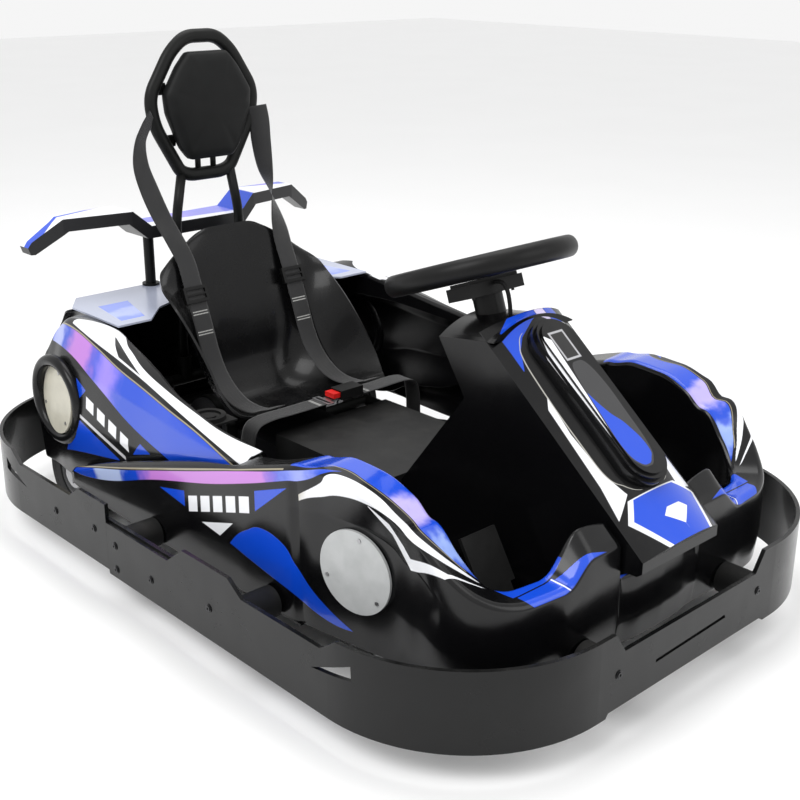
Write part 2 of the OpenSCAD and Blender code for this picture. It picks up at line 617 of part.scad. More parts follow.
// Inner ends of the tabs that hold the pad
head_tabs = [[96, head_top - 120], [78, head_top - 232]];
pad_outline = [[50, head_top - 44], [77, head_top - 74], [112, head_top - 130], [108, head_top - 172],
    [77, head_top - 249], [56, head_top - 275]];
module headrest_pad() color([0.1, 0.1, 0.1])
    front_plate(mirrored_first(pad_outline), head_x + 4.3, head_pad_t);

// ---------------------------------------------------------------- wing

wing_post_x = ra - 113;
wing_post_y = 110;
wing_half = wing_w / 2;
// Front view: top edge from the middle to the tip, then the underside back at wing_t below
wing_front = [[0, 606], [124, 606], [166, 643], [wing_half - 73, 640], [wing_half - 8, 594], [wing_half, 582],
    [wing_half - 5, 566], [wing_half - 14, 566], [wing_half - 84, 640 - wing_t], [176, 643 - wing_t],
    [134, 606 - wing_t], [0, 606 - wing_t]];
wing_plan = [[-602, 0], [-602, 124], [-610, 168], [-651, wing_half - 73], [-680, wing_half], [-718, wing_half],
    [-705, wing_half - 73], [-700, 168], [-700, 0]];
module rear_wing() color([0.9, 0.92, 0.95]) difference() {
    both_sides() intersection() {
        front_plate(wing_front, -760, 200);
        linear_extrude(700) polygon(wing_plan);
    }
    both_sides() translate([wing_post_x, wing_post_y, 500])
        cylinder(d = wing_post_d + 0.1, h = 92, $fn = round_fn);
}
rear_tube_z = 150;
module wing_posts() color([0.09, 0.09, 0.1]) both_sides() translate([wing_post_x, wing_post_y, 0]) {
    translate([0, 0, deck_z + shell_t]) cylinder(d = wing_post_d, h = 590 - deck_z - shell_t, $fn = round_fn);
    translate([0, 0, deck_z + shell_t]) cylinder(d = wing_post_d + 16, h = 5, $fn = round_fn);
}

// ---------------------------------------------------------------- chassis

rail_x = fa + 194;
cross_x = [-160, fa - 146, fa, rail_x];
seat_bar = [-320, 211];
rear_cross_x = ra + 120;
hoop_z = 245;
side_rail_y = 352;
pin_y = 290;
ear_t = 6;
ear_z = [52, 122];
cross_d = tube_d - 2;
module tube_x(x0, x1, y, z) translate([x0, y, z]) rotate([0, 90, 0])
    cylinder(d = tube_d, h = x1 - x0, $fn = round_fn);
module tube_y(x, y, z) translate([x, 0, z]) across(cross_d, 2 * y);
module ball(x, y, z) translate([x, y, z]) sphere(d = tube_d + 2, $fn = round_fn);
module chassis_frame() color([0.1, 0.1, 0.11]) difference() {
    union() {
        both_sides() {
            tube_x(rear_cross_x, rail_x, rail_y, tube_z);
            tube_x(wing_post_x, ra + 80, rail_y, rear_tube_z);
            bar([ra + 80, rail_y, rear_tube_z], [rear_cross_x, rail_y, tube_z], tube_d);
            ball(rail_x, rail_y, tube_z);
            ball(rear_cross_x, rail_y, tube_z);
            ball(ra + 80, rail_y, rear_tube_z);
            ball(wing_post_x, rail_y, rear_tube_z);
            translate([head_x, rail_y, rear_tube_z])
                cylinder(d = tube_d, h = hoop_z - rear_tube_z, $fn = round_fn);
            ball(head_x, rail_y, hoop_z);
            translate([head_x, head_post_y, hoop_z]) cylinder(d = 34, h = 55, $fn = round_fn);
            translate([seat_bar[0], rail_y - 7, tube_z])
                cylinder(d = cross_d, h = seat_bar[1] - tube_z, $fn = round_fn);
            ball(seat_bar[0], rail_y - 7, seat_bar[1]);
            tube_x(rear_cross_x, cross_x[1], side_rail_y, tube_z);
            for (x = [rear_cross_x, cross_x[1]]) ball(x, side_rail_y, tube_z);
            knuckle_bracket();
        }
        tube_y(wing_post_x, rail_y, rear_tube_z);
        tube_y(head_x, rail_y, hoop_z);
        tube_y(seat_bar[0], rail_y - 7, seat_bar[1]);
        tube_y(rear_cross_x, side_rail_y, tube_z);
        for (k = [0:3]) tube_y(cross_x[k], [side_rail_y, side_rail_y, pin_y - 32, rail_y][k], tube_z);
        on_column() translate([-38, -30, -562]) cube([68, 60, 18]);
        for (y = [-80, 10]) motor_clamp(y);
    }
    on_column() translate([0, 0, -700]) cylinder(d = shaft_d + 2 * run_c, h = 300, $fn = round_fn);
    both_sides() translate([head_x, head_post_y, head_foot_z])
        cylinder(d = head_post_d + 0.1, h = 100, $fn = round_fn);
    translate([motor_at[0], 0, motor_at[1]]) across(motor_d + 0.4, 2 * rail_y - tube_d - 2);
}
// C bracket that holds a kingpin
module knuckle_bracket() difference() {
    translate([fa - 20, pin_y - 35, ear_z[0]]) cube([40, 50, ear_z[1] + ear_t - ear_z[0]]);
    translate([fa - 21, pin_y - 29, ear_z[0] + ear_t]) cube([42, 50, ear_z[1] - ear_z[0] - ear_t]);
    translate([fa, pin_y, 0]) cylinder(d = kingpin_d, h = 200, $fn = round_fn);
}
module motor_clamp(y) difference() {
    union() {
        translate([motor_at[0], y + 8, motor_at[1]]) across(motor_d + 8, 16);
        translate([motor_at[0] + 20, y, tube_z - 8]) cube([rear_cross_x - motor_at[0] - 26, 16, 40]);
    }
    translate([motor_at[0] - 120, y - 1, tube_z - 60]) cube([200, 18, 34]);
}

module pivot_pins() color([0.7, 0.7, 0.7]) both_sides() {
    translate([fa, pin_y, ear_z[0] - 3])
        cylinder(d = kingpin_d, h = ear_z[1] + ear_t - ear_z[0] + 3, $fn = round_fn);
    translate([fa, pin_y, ear_z[1] + ear_t]) cylinder(d = kingpin_d + 8, h = 4, $fn = round_fn);
    translate([pedal_x, pedal_y, pedal_z]) across(pedal_pin_d, 82);
}

// ---------------------------------------------------------------- drive

axle_l = 836;
rear_wheel_y = 370;
gear_y = 75;
mesh_angle = 50;
gear_distance = gear_m * (axle_teeth + pinion_teeth) / 2;
motor_at = [ra + gear_distance * cos(mesh_angle), rear_axle_z + gear_distance * sin(mesh_angle)];
bearing_w = 24;

// A spur gear with straight-sided teeth, along Z
module gear(teeth, bore, turn) difference() {
    union() {
        cylinder(r = gear_m * (teeth / 2 - 1.1), h = gear_w, $fn = round_fn);
        for (k = [0:teeth - 1]) rotate([0, 0, turn + k * 360 / teeth]) linear_extrude(gear_w) polygon([
            [gear_m * (teeth / 2 - 1.5), -gear_m * 0.9], [gear_m * (teeth / 2 + 0.8), -gear_m * 0.4],
            [gear_m * (teeth / 2 + 0.8), gear_m * 0.4], [gear_m * (teeth / 2 - 1.5), gear_m * 0.9]]);
    }
    translate([0, 0, -1]) cylinder(d = bore, h = gear_w + 2, $fn = round_fn);
}
// Children with Z along -Y, starting at y, about a centre in X and Z
module side_axis(at, y) translate([at[0], y, at[1]]) rotate([90, 0, 0]) children();
axle_at = [ra, rear_axle_z];

module rear_axle() color([0.6, 0.6, 0.62]) {
    translate([ra, 0, rear_axle_z]) across(axle_d, axle_l);
    both_sides() translate([ra, rear_wheel_y + rear_tyre_w / 2, rear_axle_z]) rotate([-90, 0, 0])
        cylinder(d = 36, h = 7, $fn = 6);
}
module rear_wheels() color([0.55, 0.55, 0.56]) both_sides() translate([ra, rear_wheel_y, rear_axle_z]) difference() {
    union() {
        across(rear_tyre_d * 0.56, rear_tyre_w - 8);
        across(60, rear_tyre_w);
    }
    across(axle_d, rear_tyre_w + 2);
    translate([0, rear_tyre_w / 2 - 4, 0]) rotate([-90, 0, 0]) difference() {
        translate([0, 0, -14]) cylinder(d = rear_tyre_d * 0.5, h = 20, $fn = round_fn);
        translate([0, 0, -15]) cylinder(d = 60, h = 30, $fn = round_fn);
    }
}
// A tyre with rounded shoulders and grooves, about Y
module tyre(d, w, bore) rotate([90, 0, 0]) rotate_extrude($fn = 96) difference() {
    union() {
        translate([bore / 2, -w / 2]) square([d / 2 - bore / 2 - 8, w]);
        translate([bore / 2, 8 - w / 2]) square([d / 2 - bore / 2, w - 16]);
        for (e = [-1, 1]) translate([d / 2 - 8, e * (w / 2 - 8)]) circle(r = 8, $fn = round_fn);
    }
    for (e = [-1, 1]) translate([d / 2 - 3, e * w / 6 - 2]) square([5, 4]);
}
module rear_tyres() color([0.05, 0.05, 0.05]) both_sides()
    translate([ra, rear_wheel_y, rear_axle_z]) tyre(rear_tyre_d, rear_tyre_w, rear_tyre_d * 0.56);
module axle_gear() color([0.6, 0.6, 0.6])
    side_axis(axle_at, gear_y + gear_w / 2) gear(axle_teeth, axle_d, mesh_angle);
module motor_pinion() color([0.65, 0.65, 0.65]) side_axis(motor_at, gear_y + gear_w / 2) {
    gear(pinion_teeth, 8, mesh_angle + 180 + 180 / pinion_teeth);
    translate([0, 0, 0]) cylinder(d = 8.01, h = gear_w, $fn = round_fn);
    translate([0, 0, gear_w]) cylinder(d = 12, h = 36, $fn = round_fn);
}
disc_y = -102;
module brake_disc() color([0.55, 0.55, 0.55]) side_axis(axle_at, disc_y) difference() {
    union() {
        cylinder(d = disc_d, h = 4, $fn = 96);
        translate([0, 0, -8]) cylinder(d = 52, h = 12, $fn = round_fn);
    }
    translate([0, 0, -9]) cylinder(d = axle_d, h = 20, $fn = round_fn);
    for (q = [0:60:300]) rotate([0, 0, q]) translate([48, 0, -1]) cylinder(d = 14, h = 6, $fn = round_fn);
}
module brake_caliper() color([0.3, 0.3, 0.3]) difference() {
    translate([ra - 94, disc_y - 36, rear_axle_z - 10]) cube([40, 52, 46]);
    translate([ra - 82, disc_y - 5, rear_axle_z - 11]) cube([40, 6, 48]);
}
module axle_bearings() color([0.35, 0.35, 0.36]) both_sides() difference() {
    translate([ra - 34, rail_y - bearing_w / 2, rear_axle_z - 26])
        cube([68, bearing_w, rear_tube_z - tube_d / 2 - rear_axle_z + 26.5]);
    translate([ra, rail_y, rear_axle_z]) across(axle_d + 2 * run_c, bearing_w + 2);
    translate([ra, rail_y, rear_tube_z]) rotate([0, 90, 0])
        cylinder(d = tube_d + 0.6, h = 80, center = true, $fn = round_fn);
}
case_t = 4;
case_y = gear_y + gear_w / 2 + 8;
case_w = gear_w + 16;
module case_body(drop) {
    cylinder(r = gear_m * axle_teeth / 2 + 10 - drop, h = case_w - 2 * drop, $fn = 96);
    translate([motor_at[0] - ra, motor_at[1] - rear_axle_z, 0])
        cylinder(r = gear_m * pinion_teeth / 2 + 18 - drop, h = case_w - 2 * drop, $fn = round_fn);
}
module gearbox_case() color([0.45, 0.46, 0.48]) difference() {
    side_axis(axle_at, case_y) case_body(0);
    side_axis(axle_at, case_y - case_t) case_body(case_t);
    side_axis(axle_at, case_y + 1) cylinder(d = axle_d + 3, h = case_w + 2, $fn = round_fn);
    side_axis(motor_at, case_y - case_w + case_t + 1) cylinder(d = 20, h = 20, $fn = round_fn);
}
motor_y = case_y - case_w - 0.1;
module drive_motor() color([0.2, 0.2, 0.22]) side_axis(motor_at, motor_y) difference() {
    union() {
        cylinder(d = motor_d, h = motor_l, $fn = 96);
        translate([-30, motor_d / 2 - 10, 50]) cube([50, 24, 40]);
    }
    translate([0, 0, -1]) cylinder(d = 12 + 2 * run_c, h = 41, $fn = round_fn);
    for (k = [0:11]) rotate([0, 0, k * 30]) translate([motor_d / 2 - 2, -4, 64]) cube([4, 8, 20]);
}

// ---------------------------------------------------------------- front wheels and steering

front_wheel_y = 345;
arm_l = 103;
arm_z = 60;
rod_d = 10;
rod_z = arm_z + 13;
eye_d = 20;
stub_z = front_axle_z;
knuckle_od = 26;
module knuckle() difference() {
    union() {
        translate([fa, pin_y, ear_z[0] + ear_t + 0.3])
            cylinder(d = knuckle_od, h = ear_z[1] - ear_z[0] - ear_t - 0.6, $fn = round_fn);
        translate([fa, pin_y + 8, stub_z]) rotate([-90, 0, 0])
            cylinder(d = stub_d, h = front_wheel_y + 38 - pin_y, $fn = round_fn);
        translate([fa, pin_y + 8, stub_z]) rotate([-90, 0, 0]) cylinder(d = stub_d + 9, h = 10, $fn = round_fn);
        translate([fa, pin_y - 7, arm_z]) cube([arm_l, 14, 7]);
        translate([fa + arm_l, pin_y, arm_z]) cylinder(d = 20, h = 7, $fn = round_fn);
        translate([fa, front_wheel_y + 26.5, stub_z]) rotate([-90, 0, 0]) cylinder(d = 26, h = 8, $fn = 6);
    }
    translate([fa, pin_y, 0]) cylinder(d = kingpin_d + 2 * run_c, h = 200, $fn = round_fn);
    translate([fa + arm_l, pin_y, 0]) cylinder(d = rod_d + 2 * run_c, h = 200, $fn = round_fn);
}
module knuckle_left() color([0.3, 0.3, 0.32]) knuckle();
module knuckle_right() color([0.3, 0.3, 0.32]) mirror([0, 1, 0]) knuckle();
module tie_rod() {
    translate([fa + arm_l, pin_y, arm_z - 2]) cylinder(d = rod_d, h = rod_z - arm_z + 2, $fn = round_fn);
    for (y = [12, pin_y]) translate([fa + arm_l, y, arm_z + 7.3]) cylinder(d = eye_d, h = 12, $fn = round_fn);
    translate([fa + arm_l, 12, rod_z]) rotate([-90, 0, 0]) cylinder(d = rod_d, h = pin_y - 12, $fn = round_fn);
}
module tie_rod_left() color([0.6, 0.6, 0.6]) tie_rod();
module tie_rod_right() color([0.6, 0.6, 0.6]) mirror([0, 1, 0]) tie_rod();
module front_wheel() translate([fa, front_wheel_y, front_axle_z]) difference() {
    union() {
        across(front_tyre_d * 0.55, front_tyre_w - 8);
        across(44, front_tyre_w);
    }
    across(stub_d + 2 * run_c, front_tyre_w + 2);
}
module front_wheel_left() color([0.55, 0.55, 0.56]) front_wheel();
module front_wheel_right() color([0.55, 0.55, 0.56]) mirror([0, 1, 0]) front_wheel();
module front_tyre() translate([fa, front_wheel_y, front_axle_z])
    tyre(front_tyre_d, front_tyre_w, front_tyre_d * 0.55);
module front_tyre_left() color([0.05, 0.05, 0.05]) front_tyre();
module front_tyre_right() color([0.05, 0.05, 0.05]) mirror([0, 1, 0]) front_tyre();

column_foot = -634;
pan_hole_x = wheel_at[0] + (wheel_at[2] - pan_z) * tan(column_tilt);
module steering_shaft() color([0.6, 0.6, 0.62]) on_column() {
    translate([0, 0, column_foot]) cylinder(d = shaft_d, h = -column_foot - 18, $fn = round_fn);
    translate([0, -10, column_foot + 10]) cube([54, 20, 8]);
    translate([0, 0, column_foot + 2]) cylinder(d = 30, h = 20, $fn = round_fn);
}
module column_sleeve() color([0.1, 0.1, 0.11]) on_column() difference() {
    union() {
        translate([0, 0, -190]) cylinder(d = sleeve_d, h = 137.5, $fn = round_fn);
        translate([0, 0, -543.7]) cylinder(d = 34, h = 360, $fn = round_fn);
    }
    translate([0, 0, -600]) cylinder(d = shaft_d + 2 * run_c, h = 600, $fn = round_fn);
}
module switch_box() color([0.12, 0.12, 0.13]) on_column() difference() {
    union() {
        translate([-30, -70, -52]) cube([60, 140, 24]);
        translate([-24, -64, -52]) cube([48, 128, 30]);
        for (y = [-52, 52]) translate([16, y, -56]) cylinder(d = 6, h = 8, $fn = round_fn);
    }
    translate([0, 0, -60]) cylinder(d = shaft_d + 2 * run_c, h = 60, $fn = round_fn);
}
// Rim, three spokes, the hub and the pad with the horn's well
module steering_rim() color([0.1, 0.1, 0.1]) on_column() difference() {
    union() {
        rotate_extrude($fn = 120) translate([rim_r, 0]) circle(d = rim_d, $fn = round_fn);
        for (q = [0, 120, 240]) rotate([0, 0, q]) translate([0, -17, -11]) cube([rim_r, 34, 9]);
        translate([0, 0, -18]) cylinder(d = 60, h = 20, $fn = round_fn);
        translate([-40, -56, -2]) cube([80, 112, 18]);
        translate([24, -76, -2]) cube([50, 152, 19]);
    }
    translate([0, 0, -60]) cylinder(d = shaft_d, h = 48, $fn = round_fn);
    translate([-8, 0, 4]) cylinder(d = horn_d + 0.6, h = 40, $fn = round_fn);
}
horn_d = 44;
module horn_button() color([0.7, 0.1, 0.08]) on_column() translate([-8, 0, 7.3]) {
    cylinder(d = horn_d - 2, h = 12, $fn = round_fn);
    cylinder(d = horn_d, h = 7, $fn = round_fn);
}
// Points of the cable from the switch box to the nose
cable_route = [[338.6, -4, 640], [356, -4, 642], [368, -4, 630],
    [374, -4, 612], [377, -4, 594], [379, -4, 562]];
// A curve through the points, and a tube swept along it
function spline(p, t) = let (
    i = min(floor(t), len(p) - 2), s = t - i, a = p[max(i - 1, 0)], b = p[i], c = p[i + 1],
    d = p[min(i + 2, len(p) - 1)])
    b + 0.5 * s * (c - a + s * (2 * a - 5 * b + 4 * c - d + s * (3 * (b - c) + d - a)));
module cord(route, d, rings, sides) {
    line = [for (k = [0:rings]) spline(route, k * (len(route) - 1) / rings)];
    loft([for (k = [0:rings]) let (u = unit(line[min(k + 1, rings)] - line[max(k - 1, 0)]), v = [0, 1, 0],
        w = unit(cross(u, v))) [for (j = [0:sides - 1]) let (q = 360 * j / sides)
        line[k] + d / 2 * (cos(q) * v + sin(q) * w)]]);
}
module steering_cable() color([0.05, 0.05, 0.05]) cord(cable_route, cable_d, 12, 12);

// ---------------------------------------------------------------- pedals

pedal_x = fa + 114;
pedal_y = 190;
pedal_z = 132;
pedal_w = 84;
pedal_pin_d = 10;
pedal_turn = -32;
module pedal() difference() {
    union() {
        translate([pedal_x, pedal_y, pedal_z]) across(20, 64);
        translate([pedal_x, pedal_y, pedal_z]) rotate([0, pedal_turn, 0]) {
            translate([-4, 12 - pedal_w / 2, 0]) cube([8, pedal_w - 24, 60]);
            translate([-4, -pedal_w / 2, 46]) cube([8, pedal_w, 100]);
            for (k = [0:4]) translate([-7, 6 - pedal_w / 2, 56 + 18 * k]) cube([4, pedal_w - 12, 7]);
        }
    }
    translate([pedal_x, pedal_y, pedal_z]) across(pedal_pin_d + 2 * run_c, pedal_w + 2);
}
module accelerator_pedal() color([0.2, 0.2, 0.2]) mirror([0, 1, 0]) pedal();
module brake_pedal() color([0.25, 0.25, 0.25]) pedal();

// ---------------------------------------------------------------- harness and socket

socket_x = -159;
module charge_socket() color([0.3, 0.3, 0.32]) {
    translate([socket_x, 0, 0]) {
        translate([-32, tube_d / 2 - side_rail_y, tube_z + cross_d / 2 + 0.1]) cube([64, 4, 187 - cross_d / 2]);
        translate([-40, tube_d / 2 - side_rail_y, tube_z + 186]) cube([80, 84, 4]);
        translate([0, 42 + tube_d / 2 - side_rail_y, tube_z + 189]) {
            difference() {
                cylinder(d = 70, h = 10, $fn = round_fn);
                translate([0, 0, 5]) cylinder(d = 50, h = 10, $fn = round_fn);
            }
            cylinder(d = 30, h = 8, $fn = round_fn);
        }
    }
}

// A ribbon of the given thickness along a path in its own plane
function ribbon_edge(p, t) = [for (i = [0:len(p) - 1])
    let (n = len(p), a = p[max(i - 1, 0)], c = p[min(i + 1, n - 1)], b = p[i],
         u = i == 0 ? unit(c - b) : unit(b - a), v = i == n - 1 ? unit(b - a) : unit(c - b),
         nu = [-u[1], u[0]], nv = [-v[1], v[0]])
    b + t * (nu + nv) / (1 + nu * nv)];
function ribbon(p, t) = let (e = ribbon_edge(p, -t / 2))
    concat(ribbon_edge(p, t / 2), [for (i = [len(e) - 1:-1:0]) e[i]]);
strap_y = 135;
strap_path = [[head_x + 15.4, 862], [head_x + 15.4, 826], [-505, 660], [-472, 600], [-456, 553], [-434, 505],
    [-413, 455], [-395, 409], [-378, 365], [-354, 325], [-318, 293], [-270, 273], [-211, 273], [-166, 290],
    [-146, 297]];
module shoulder_strap() side_plate(ribbon(strap_path, web_t), web_w, -strap_y);
module shoulder_strap_right() color([0.08, 0.08, 0.08]) shoulder_strap();
module shoulder_strap_left() color([0.08, 0.08, 0.08]) mirror([0, 1, 0]) shoulder_strap();
adjuster_at = [-425.2, 484];
module strap_adjusters() color([0.05, 0.05, 0.05]) both_sides()
    translate([adjuster_at[0], -strap_y, adjuster_at[1]]) rotate([0, -22.8, 0]) difference() {
        translate([-3.2, -web_w / 2 - 6, -18]) cube([8.4, web_w + 12, 36]);
        translate([-web_t / 2 - 0.3, -web_w / 2 - 0.3, -30]) cube([web_t + 0.6, web_w + 0.6, 60]);
        for (z = [-11, 2]) translate([0, -web_w / 2, z]) cube([20, web_w, 9]);
    }
buckle_x = -118;
lap_z = 294.3;
lap_path = [[66.3, lap_z], [200, lap_z], [222, 282], [233, 240], [236, pan_z + 0.2]];
tongue_path = concat([[40.3, lap_z]], [for (k = [1:4]) lap_path[k]]);
module lap_strap(path) front_plate(ribbon(path, web_t), buckle_x - web_w / 2, web_w);
module lap_straps() color([0.08, 0.08, 0.08]) {
    lap_strap(lap_path);
    mirror([0, 1, 0]) lap_strap(tongue_path);
}
module buckle_body() color([0.05, 0.05, 0.05]) difference() {
    translate([buckle_x - 18, 4, 291.5]) cube([36, 62, 20]);
    translate([buckle_x - 12.3, 3, 292.7]) cube([24.6, 26, 3.1]);
    translate([buckle_x - 15, 3, 297.5]) cube([30, 22, 11]);
}
module buckle_tongue() color([0.7, 0.7, 0.7]) difference() {
    union() {
        translate([buckle_x - 12, -24, 293]) cube([24, 51, 2.5]);
        translate([buckle_x - 27, -40, 293]) cube([54, 18, 2.5]);
    }
    translate([buckle_x - 24, -35, 292]) cube([48, 6, 5]);
}
module buckle_button() color([0.8, 0.05, 0.03]) translate([buckle_x - 14.7, -14, 297.8]) cube([29.4, 33, 10.4]);

chassis_frame();
floor_pan();
front_shell();
rear_shell();
rear_deck();
nose_cowl();
nose_capsule();
bumper_front();
bumper_rear();
bumper_buffers();
bumper_screws();
wheel_liners();
lens_front_left();
lens_front_right();
lens_rear_left();
lens_rear_right();
lens_screws();
seat_shell();
battery_cover();
battery_pack();
motor_controller();
headrest_frame();
headrest_pad();
rear_wing();
wing_posts();
column_sleeve();
steering_cable();
drive_motor();
gearbox_case();
axle_bearings();
brake_caliper();
charge_socket();
shoulder_strap_left();
shoulder_strap_right();
strap_adjusters();
lap_straps();
buckle_body();
buckle_tongue();
buckle_button();
pivot_pins();
steering_rim();
switch_box();
steering_shaft();
horn_button();
knuckle_left();
knuckle_right();
tie_rod_left();
tie_rod_right();
front_tyre_left();
front_tyre_right();
front_wheel_left();
front_wheel_right();
rear_axle();
rear_wheels();
rear_tyres();
axle_gear();
brake_disc();
motor_pinion();
accelerator_pedal();
brake_pedal();
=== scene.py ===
"""Looks for a low electric kart: finishes, soft pieces and a studio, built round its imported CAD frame."""

import logging
import math
from dataclasses import dataclass
from enum import Enum

import bpy
import numpy as np
from mathutils import Matrix, Vector


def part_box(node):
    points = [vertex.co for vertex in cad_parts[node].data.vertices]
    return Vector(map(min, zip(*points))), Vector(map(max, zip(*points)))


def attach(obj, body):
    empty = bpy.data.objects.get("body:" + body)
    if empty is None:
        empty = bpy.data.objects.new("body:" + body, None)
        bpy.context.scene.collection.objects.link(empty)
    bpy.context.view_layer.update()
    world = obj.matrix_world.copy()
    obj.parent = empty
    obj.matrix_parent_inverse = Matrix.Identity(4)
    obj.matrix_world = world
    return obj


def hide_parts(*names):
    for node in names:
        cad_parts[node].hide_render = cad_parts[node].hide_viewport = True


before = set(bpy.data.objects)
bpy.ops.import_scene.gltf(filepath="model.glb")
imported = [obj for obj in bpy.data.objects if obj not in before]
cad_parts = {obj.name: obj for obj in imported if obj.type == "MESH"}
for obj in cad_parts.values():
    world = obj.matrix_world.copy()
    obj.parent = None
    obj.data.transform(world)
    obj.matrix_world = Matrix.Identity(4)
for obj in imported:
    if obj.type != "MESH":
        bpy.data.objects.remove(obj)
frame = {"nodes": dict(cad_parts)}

LOG = logging.getLogger("kart")
MM = 0.001
Colour = tuple[float, float, float]
Points = tuple[tuple[float, float], ...]
BLACK: Colour = (0.0028, 0.0028, 0.0032)
BLUE: Colour = (0.004, 0.062, 0.58)
WHITE: Colour = (0.82, 0.83, 0.86)
GREY: Colour = (0.42, 0.42, 0.44)
# The pink and lilac below are colours of painted reflections on the film.
SHEEN_PINK: Colour = (0.52, 0.20, 0.62)
SHEEN_LILAC: Colour = (0.36, 0.25, 0.86)
GOLD: Colour = (0.33, 0.29, 0.20)
BEIGE: Colour = (0.45, 0.44, 0.40)
DUST: Colour = (0.3, 0.29, 0.27)


class Chart(Enum):
    """The two lengths that a decal is drawn in, in millimetres."""

    WING_SIDE = "distance forward, and height less distance from the middle"
    SLOPE = "distance down the nose's slope, and distance to the left"
    PLAN = "distance forward, and distance from the middle"
    ACROSS = "distance to the left, and distance forward"


class Nodes:
    """A shader node tree with short calls for the nodes that every finish uses."""

    def __init__(self, tree: bpy.types.NodeTree) -> None:
        """Args: tree: the tree that the nodes go into."""
        self.tree = tree

    def add(self, kind: str, **settings: object) -> bpy.types.Node:
        """Adds a node.

        Args:
            kind: the node's type without its Shader prefix.
            settings: properties of the node to set.
        Returns:
            The new node.
        """
        node = self.tree.nodes.new("ShaderNode" + kind)
        for key, value in settings.items():
            setattr(node, key, value)
        return node

    def feed(self, socket: bpy.types.NodeSocket, value: object) -> None:
        """Links a socket to another socket, or sets it to a constant."""
        if isinstance(value, bpy.types.NodeSocket):
            self.tree.links.new(value, socket)
        elif isinstance(value, tuple) and socket.type == "RGBA":
            socket.default_value = (*value, 1.0)
        else:
            socket.default_value = value

    def maths(self, operation: str, a: object, b: object = 0.0, c: object = 0.0) -> bpy.types.NodeSocket:
        """Returns: the value of a maths operation on a, b and c."""
        node = self.add("Math", operation=operation)
        for socket, value in zip(node.inputs, (a, b, c)):
            self.feed(socket, value)
        return node.outputs[0]

    def ramp(self, value: object, low: float, high: float, to_low: float = 0.0, to_high: float = 1.0,
             kind: str = "LINEAR") -> bpy.types.NodeSocket:
        """Returns: value taken from the range low to high into the range to_low to to_high, and clamped."""
        node = self.add("MapRange", interpolation_type=kind)
        for socket, number in zip(node.inputs, (value, low, high, to_low, to_high)):
            self.feed(socket, number)
        return node.outputs[0]

    def mix(self, share: object, a: object, b: object) -> bpy.types.NodeSocket:
        """Returns: colour a turned into colour b by share."""
        node = self.add("Mix", data_type="RGBA")
        self.feed(node.inputs[0], share)
        self.feed(node.inputs[6], a)
        self.feed(node.inputs[7], b)
        return node.outputs[2]

    def noise(self, place: object, scale: float, detail: float = 3.0,
              roughness: float = 0.5) -> bpy.types.NodeSocket:
        """Returns: the value of a noise of that scale, per metre."""
        node = self.add("TexNoise")
        wanted = {"Vector": place, "Scale": scale, "Detail": detail, "Roughness": roughness}
        for name, value in wanted.items():
            self.feed(node.inputs[name], value)
        return node.outputs["Fac"]

    def stretched(self, place: object, scale: tuple[float, float, float]) -> bpy.types.NodeSocket:
        """Returns: place with each axis multiplied."""
        node = self.add("Mapping")
        self.feed(node.inputs["Vector"], place)
        node.inputs["Scale"].default_value = scale
        return node.outputs[0]

    def bump(self, height: object, strength: float, distance: float,
             normal: object = None) -> bpy.types.NodeSocket:
        """Returns: the normal after a bump of that strength and depth in metres."""
        node = self.add("Bump")
        node.inputs["Strength"].default_value = strength
        node.inputs["Distance"].default_value = distance
        self.feed(node.inputs["Height"], height)
        if normal is not None:
            self.feed(node.inputs["Normal"], normal)
        return node.outputs[0]


def material(name: str) -> tuple[bpy.types.Material, Nodes, bpy.types.Node, bpy.types.NodeSocket]:
    """Starts a material.

    Args:
        name: the material's name.
    Returns:
        The material, its nodes, its Principled shader and the object's coordinates.
    """
    made = bpy.data.materials.new(name)
    made.use_nodes = True
    tree = Nodes(made.node_tree)
    shader = made.node_tree.nodes["Principled BSDF"]
    place = tree.add("TexCoord").outputs["Object"]
    return made, tree, shader, place


def group(name: str, inputs: tuple[tuple[str, str], ...], outputs: tuple[tuple[str, str], ...]
          ) -> tuple[bpy.types.NodeTree, Nodes, bpy.types.Node, bpy.types.Node]:
    """Starts a node group.

    Args:
        name: the group's name.
        inputs: the name and socket type of each input.
        outputs: the name and socket type of each output.
    Returns:
        The group, its nodes, its input node and its output node.
    """
    made = bpy.data.node_groups.new(name, "ShaderNodeTree")
    for title, kind in inputs:
        made.interface.new_socket(title, in_out="INPUT", socket_type=kind)
    for title, kind in outputs:
        made.interface.new_socket(title, in_out="OUTPUT", socket_type=kind)
    return made, Nodes(made), made.nodes.new("NodeGroupInput"), made.nodes.new("NodeGroupOutput")


@dataclass(frozen=True)
class Wear:
    """Dust, fingerprints and fine scratches, shared by every finish as one node group."""

    name: str = "wear"

    def build(self) -> bpy.types.NodeTree:
        """Returns: the group, which turns a place into a dust mask, a smudge mask and a scratch height."""
        made, tree, given, out = group(
            self.name, (("Place", "NodeSocketVector"),),
            (("Dust", "NodeSocketFloat"), ("Smudge", "NodeSocketFloat"), ("Scratch", "NodeSocketFloat")))
        place = given.outputs["Place"]
        up = tree.add("SeparateXYZ")
        tree.feed(up.inputs[0], tree.add("NewGeometry").outputs["Normal"])
        facing = tree.ramp(up.outputs[2], 0.2, 1.0)
        dust = tree.maths("MULTIPLY", facing, tree.ramp(tree.noise(place, 9.0, 6.0, 0.65), 0.45, 0.85))
        tree.feed(out.inputs["Dust"], dust)
        tree.feed(out.inputs["Smudge"], tree.ramp(tree.noise(place, 14.0, 5.0, 0.7), 0.3, 0.75))
        lines = tree.noise(tree.stretched(place, (1.0, 14.0, 6.0)), 55.0, 2.0)
        tree.feed(out.inputs["Scratch"], tree.ramp(lines, 0.66, 0.7))
        return made


WEAR = Wear().build()


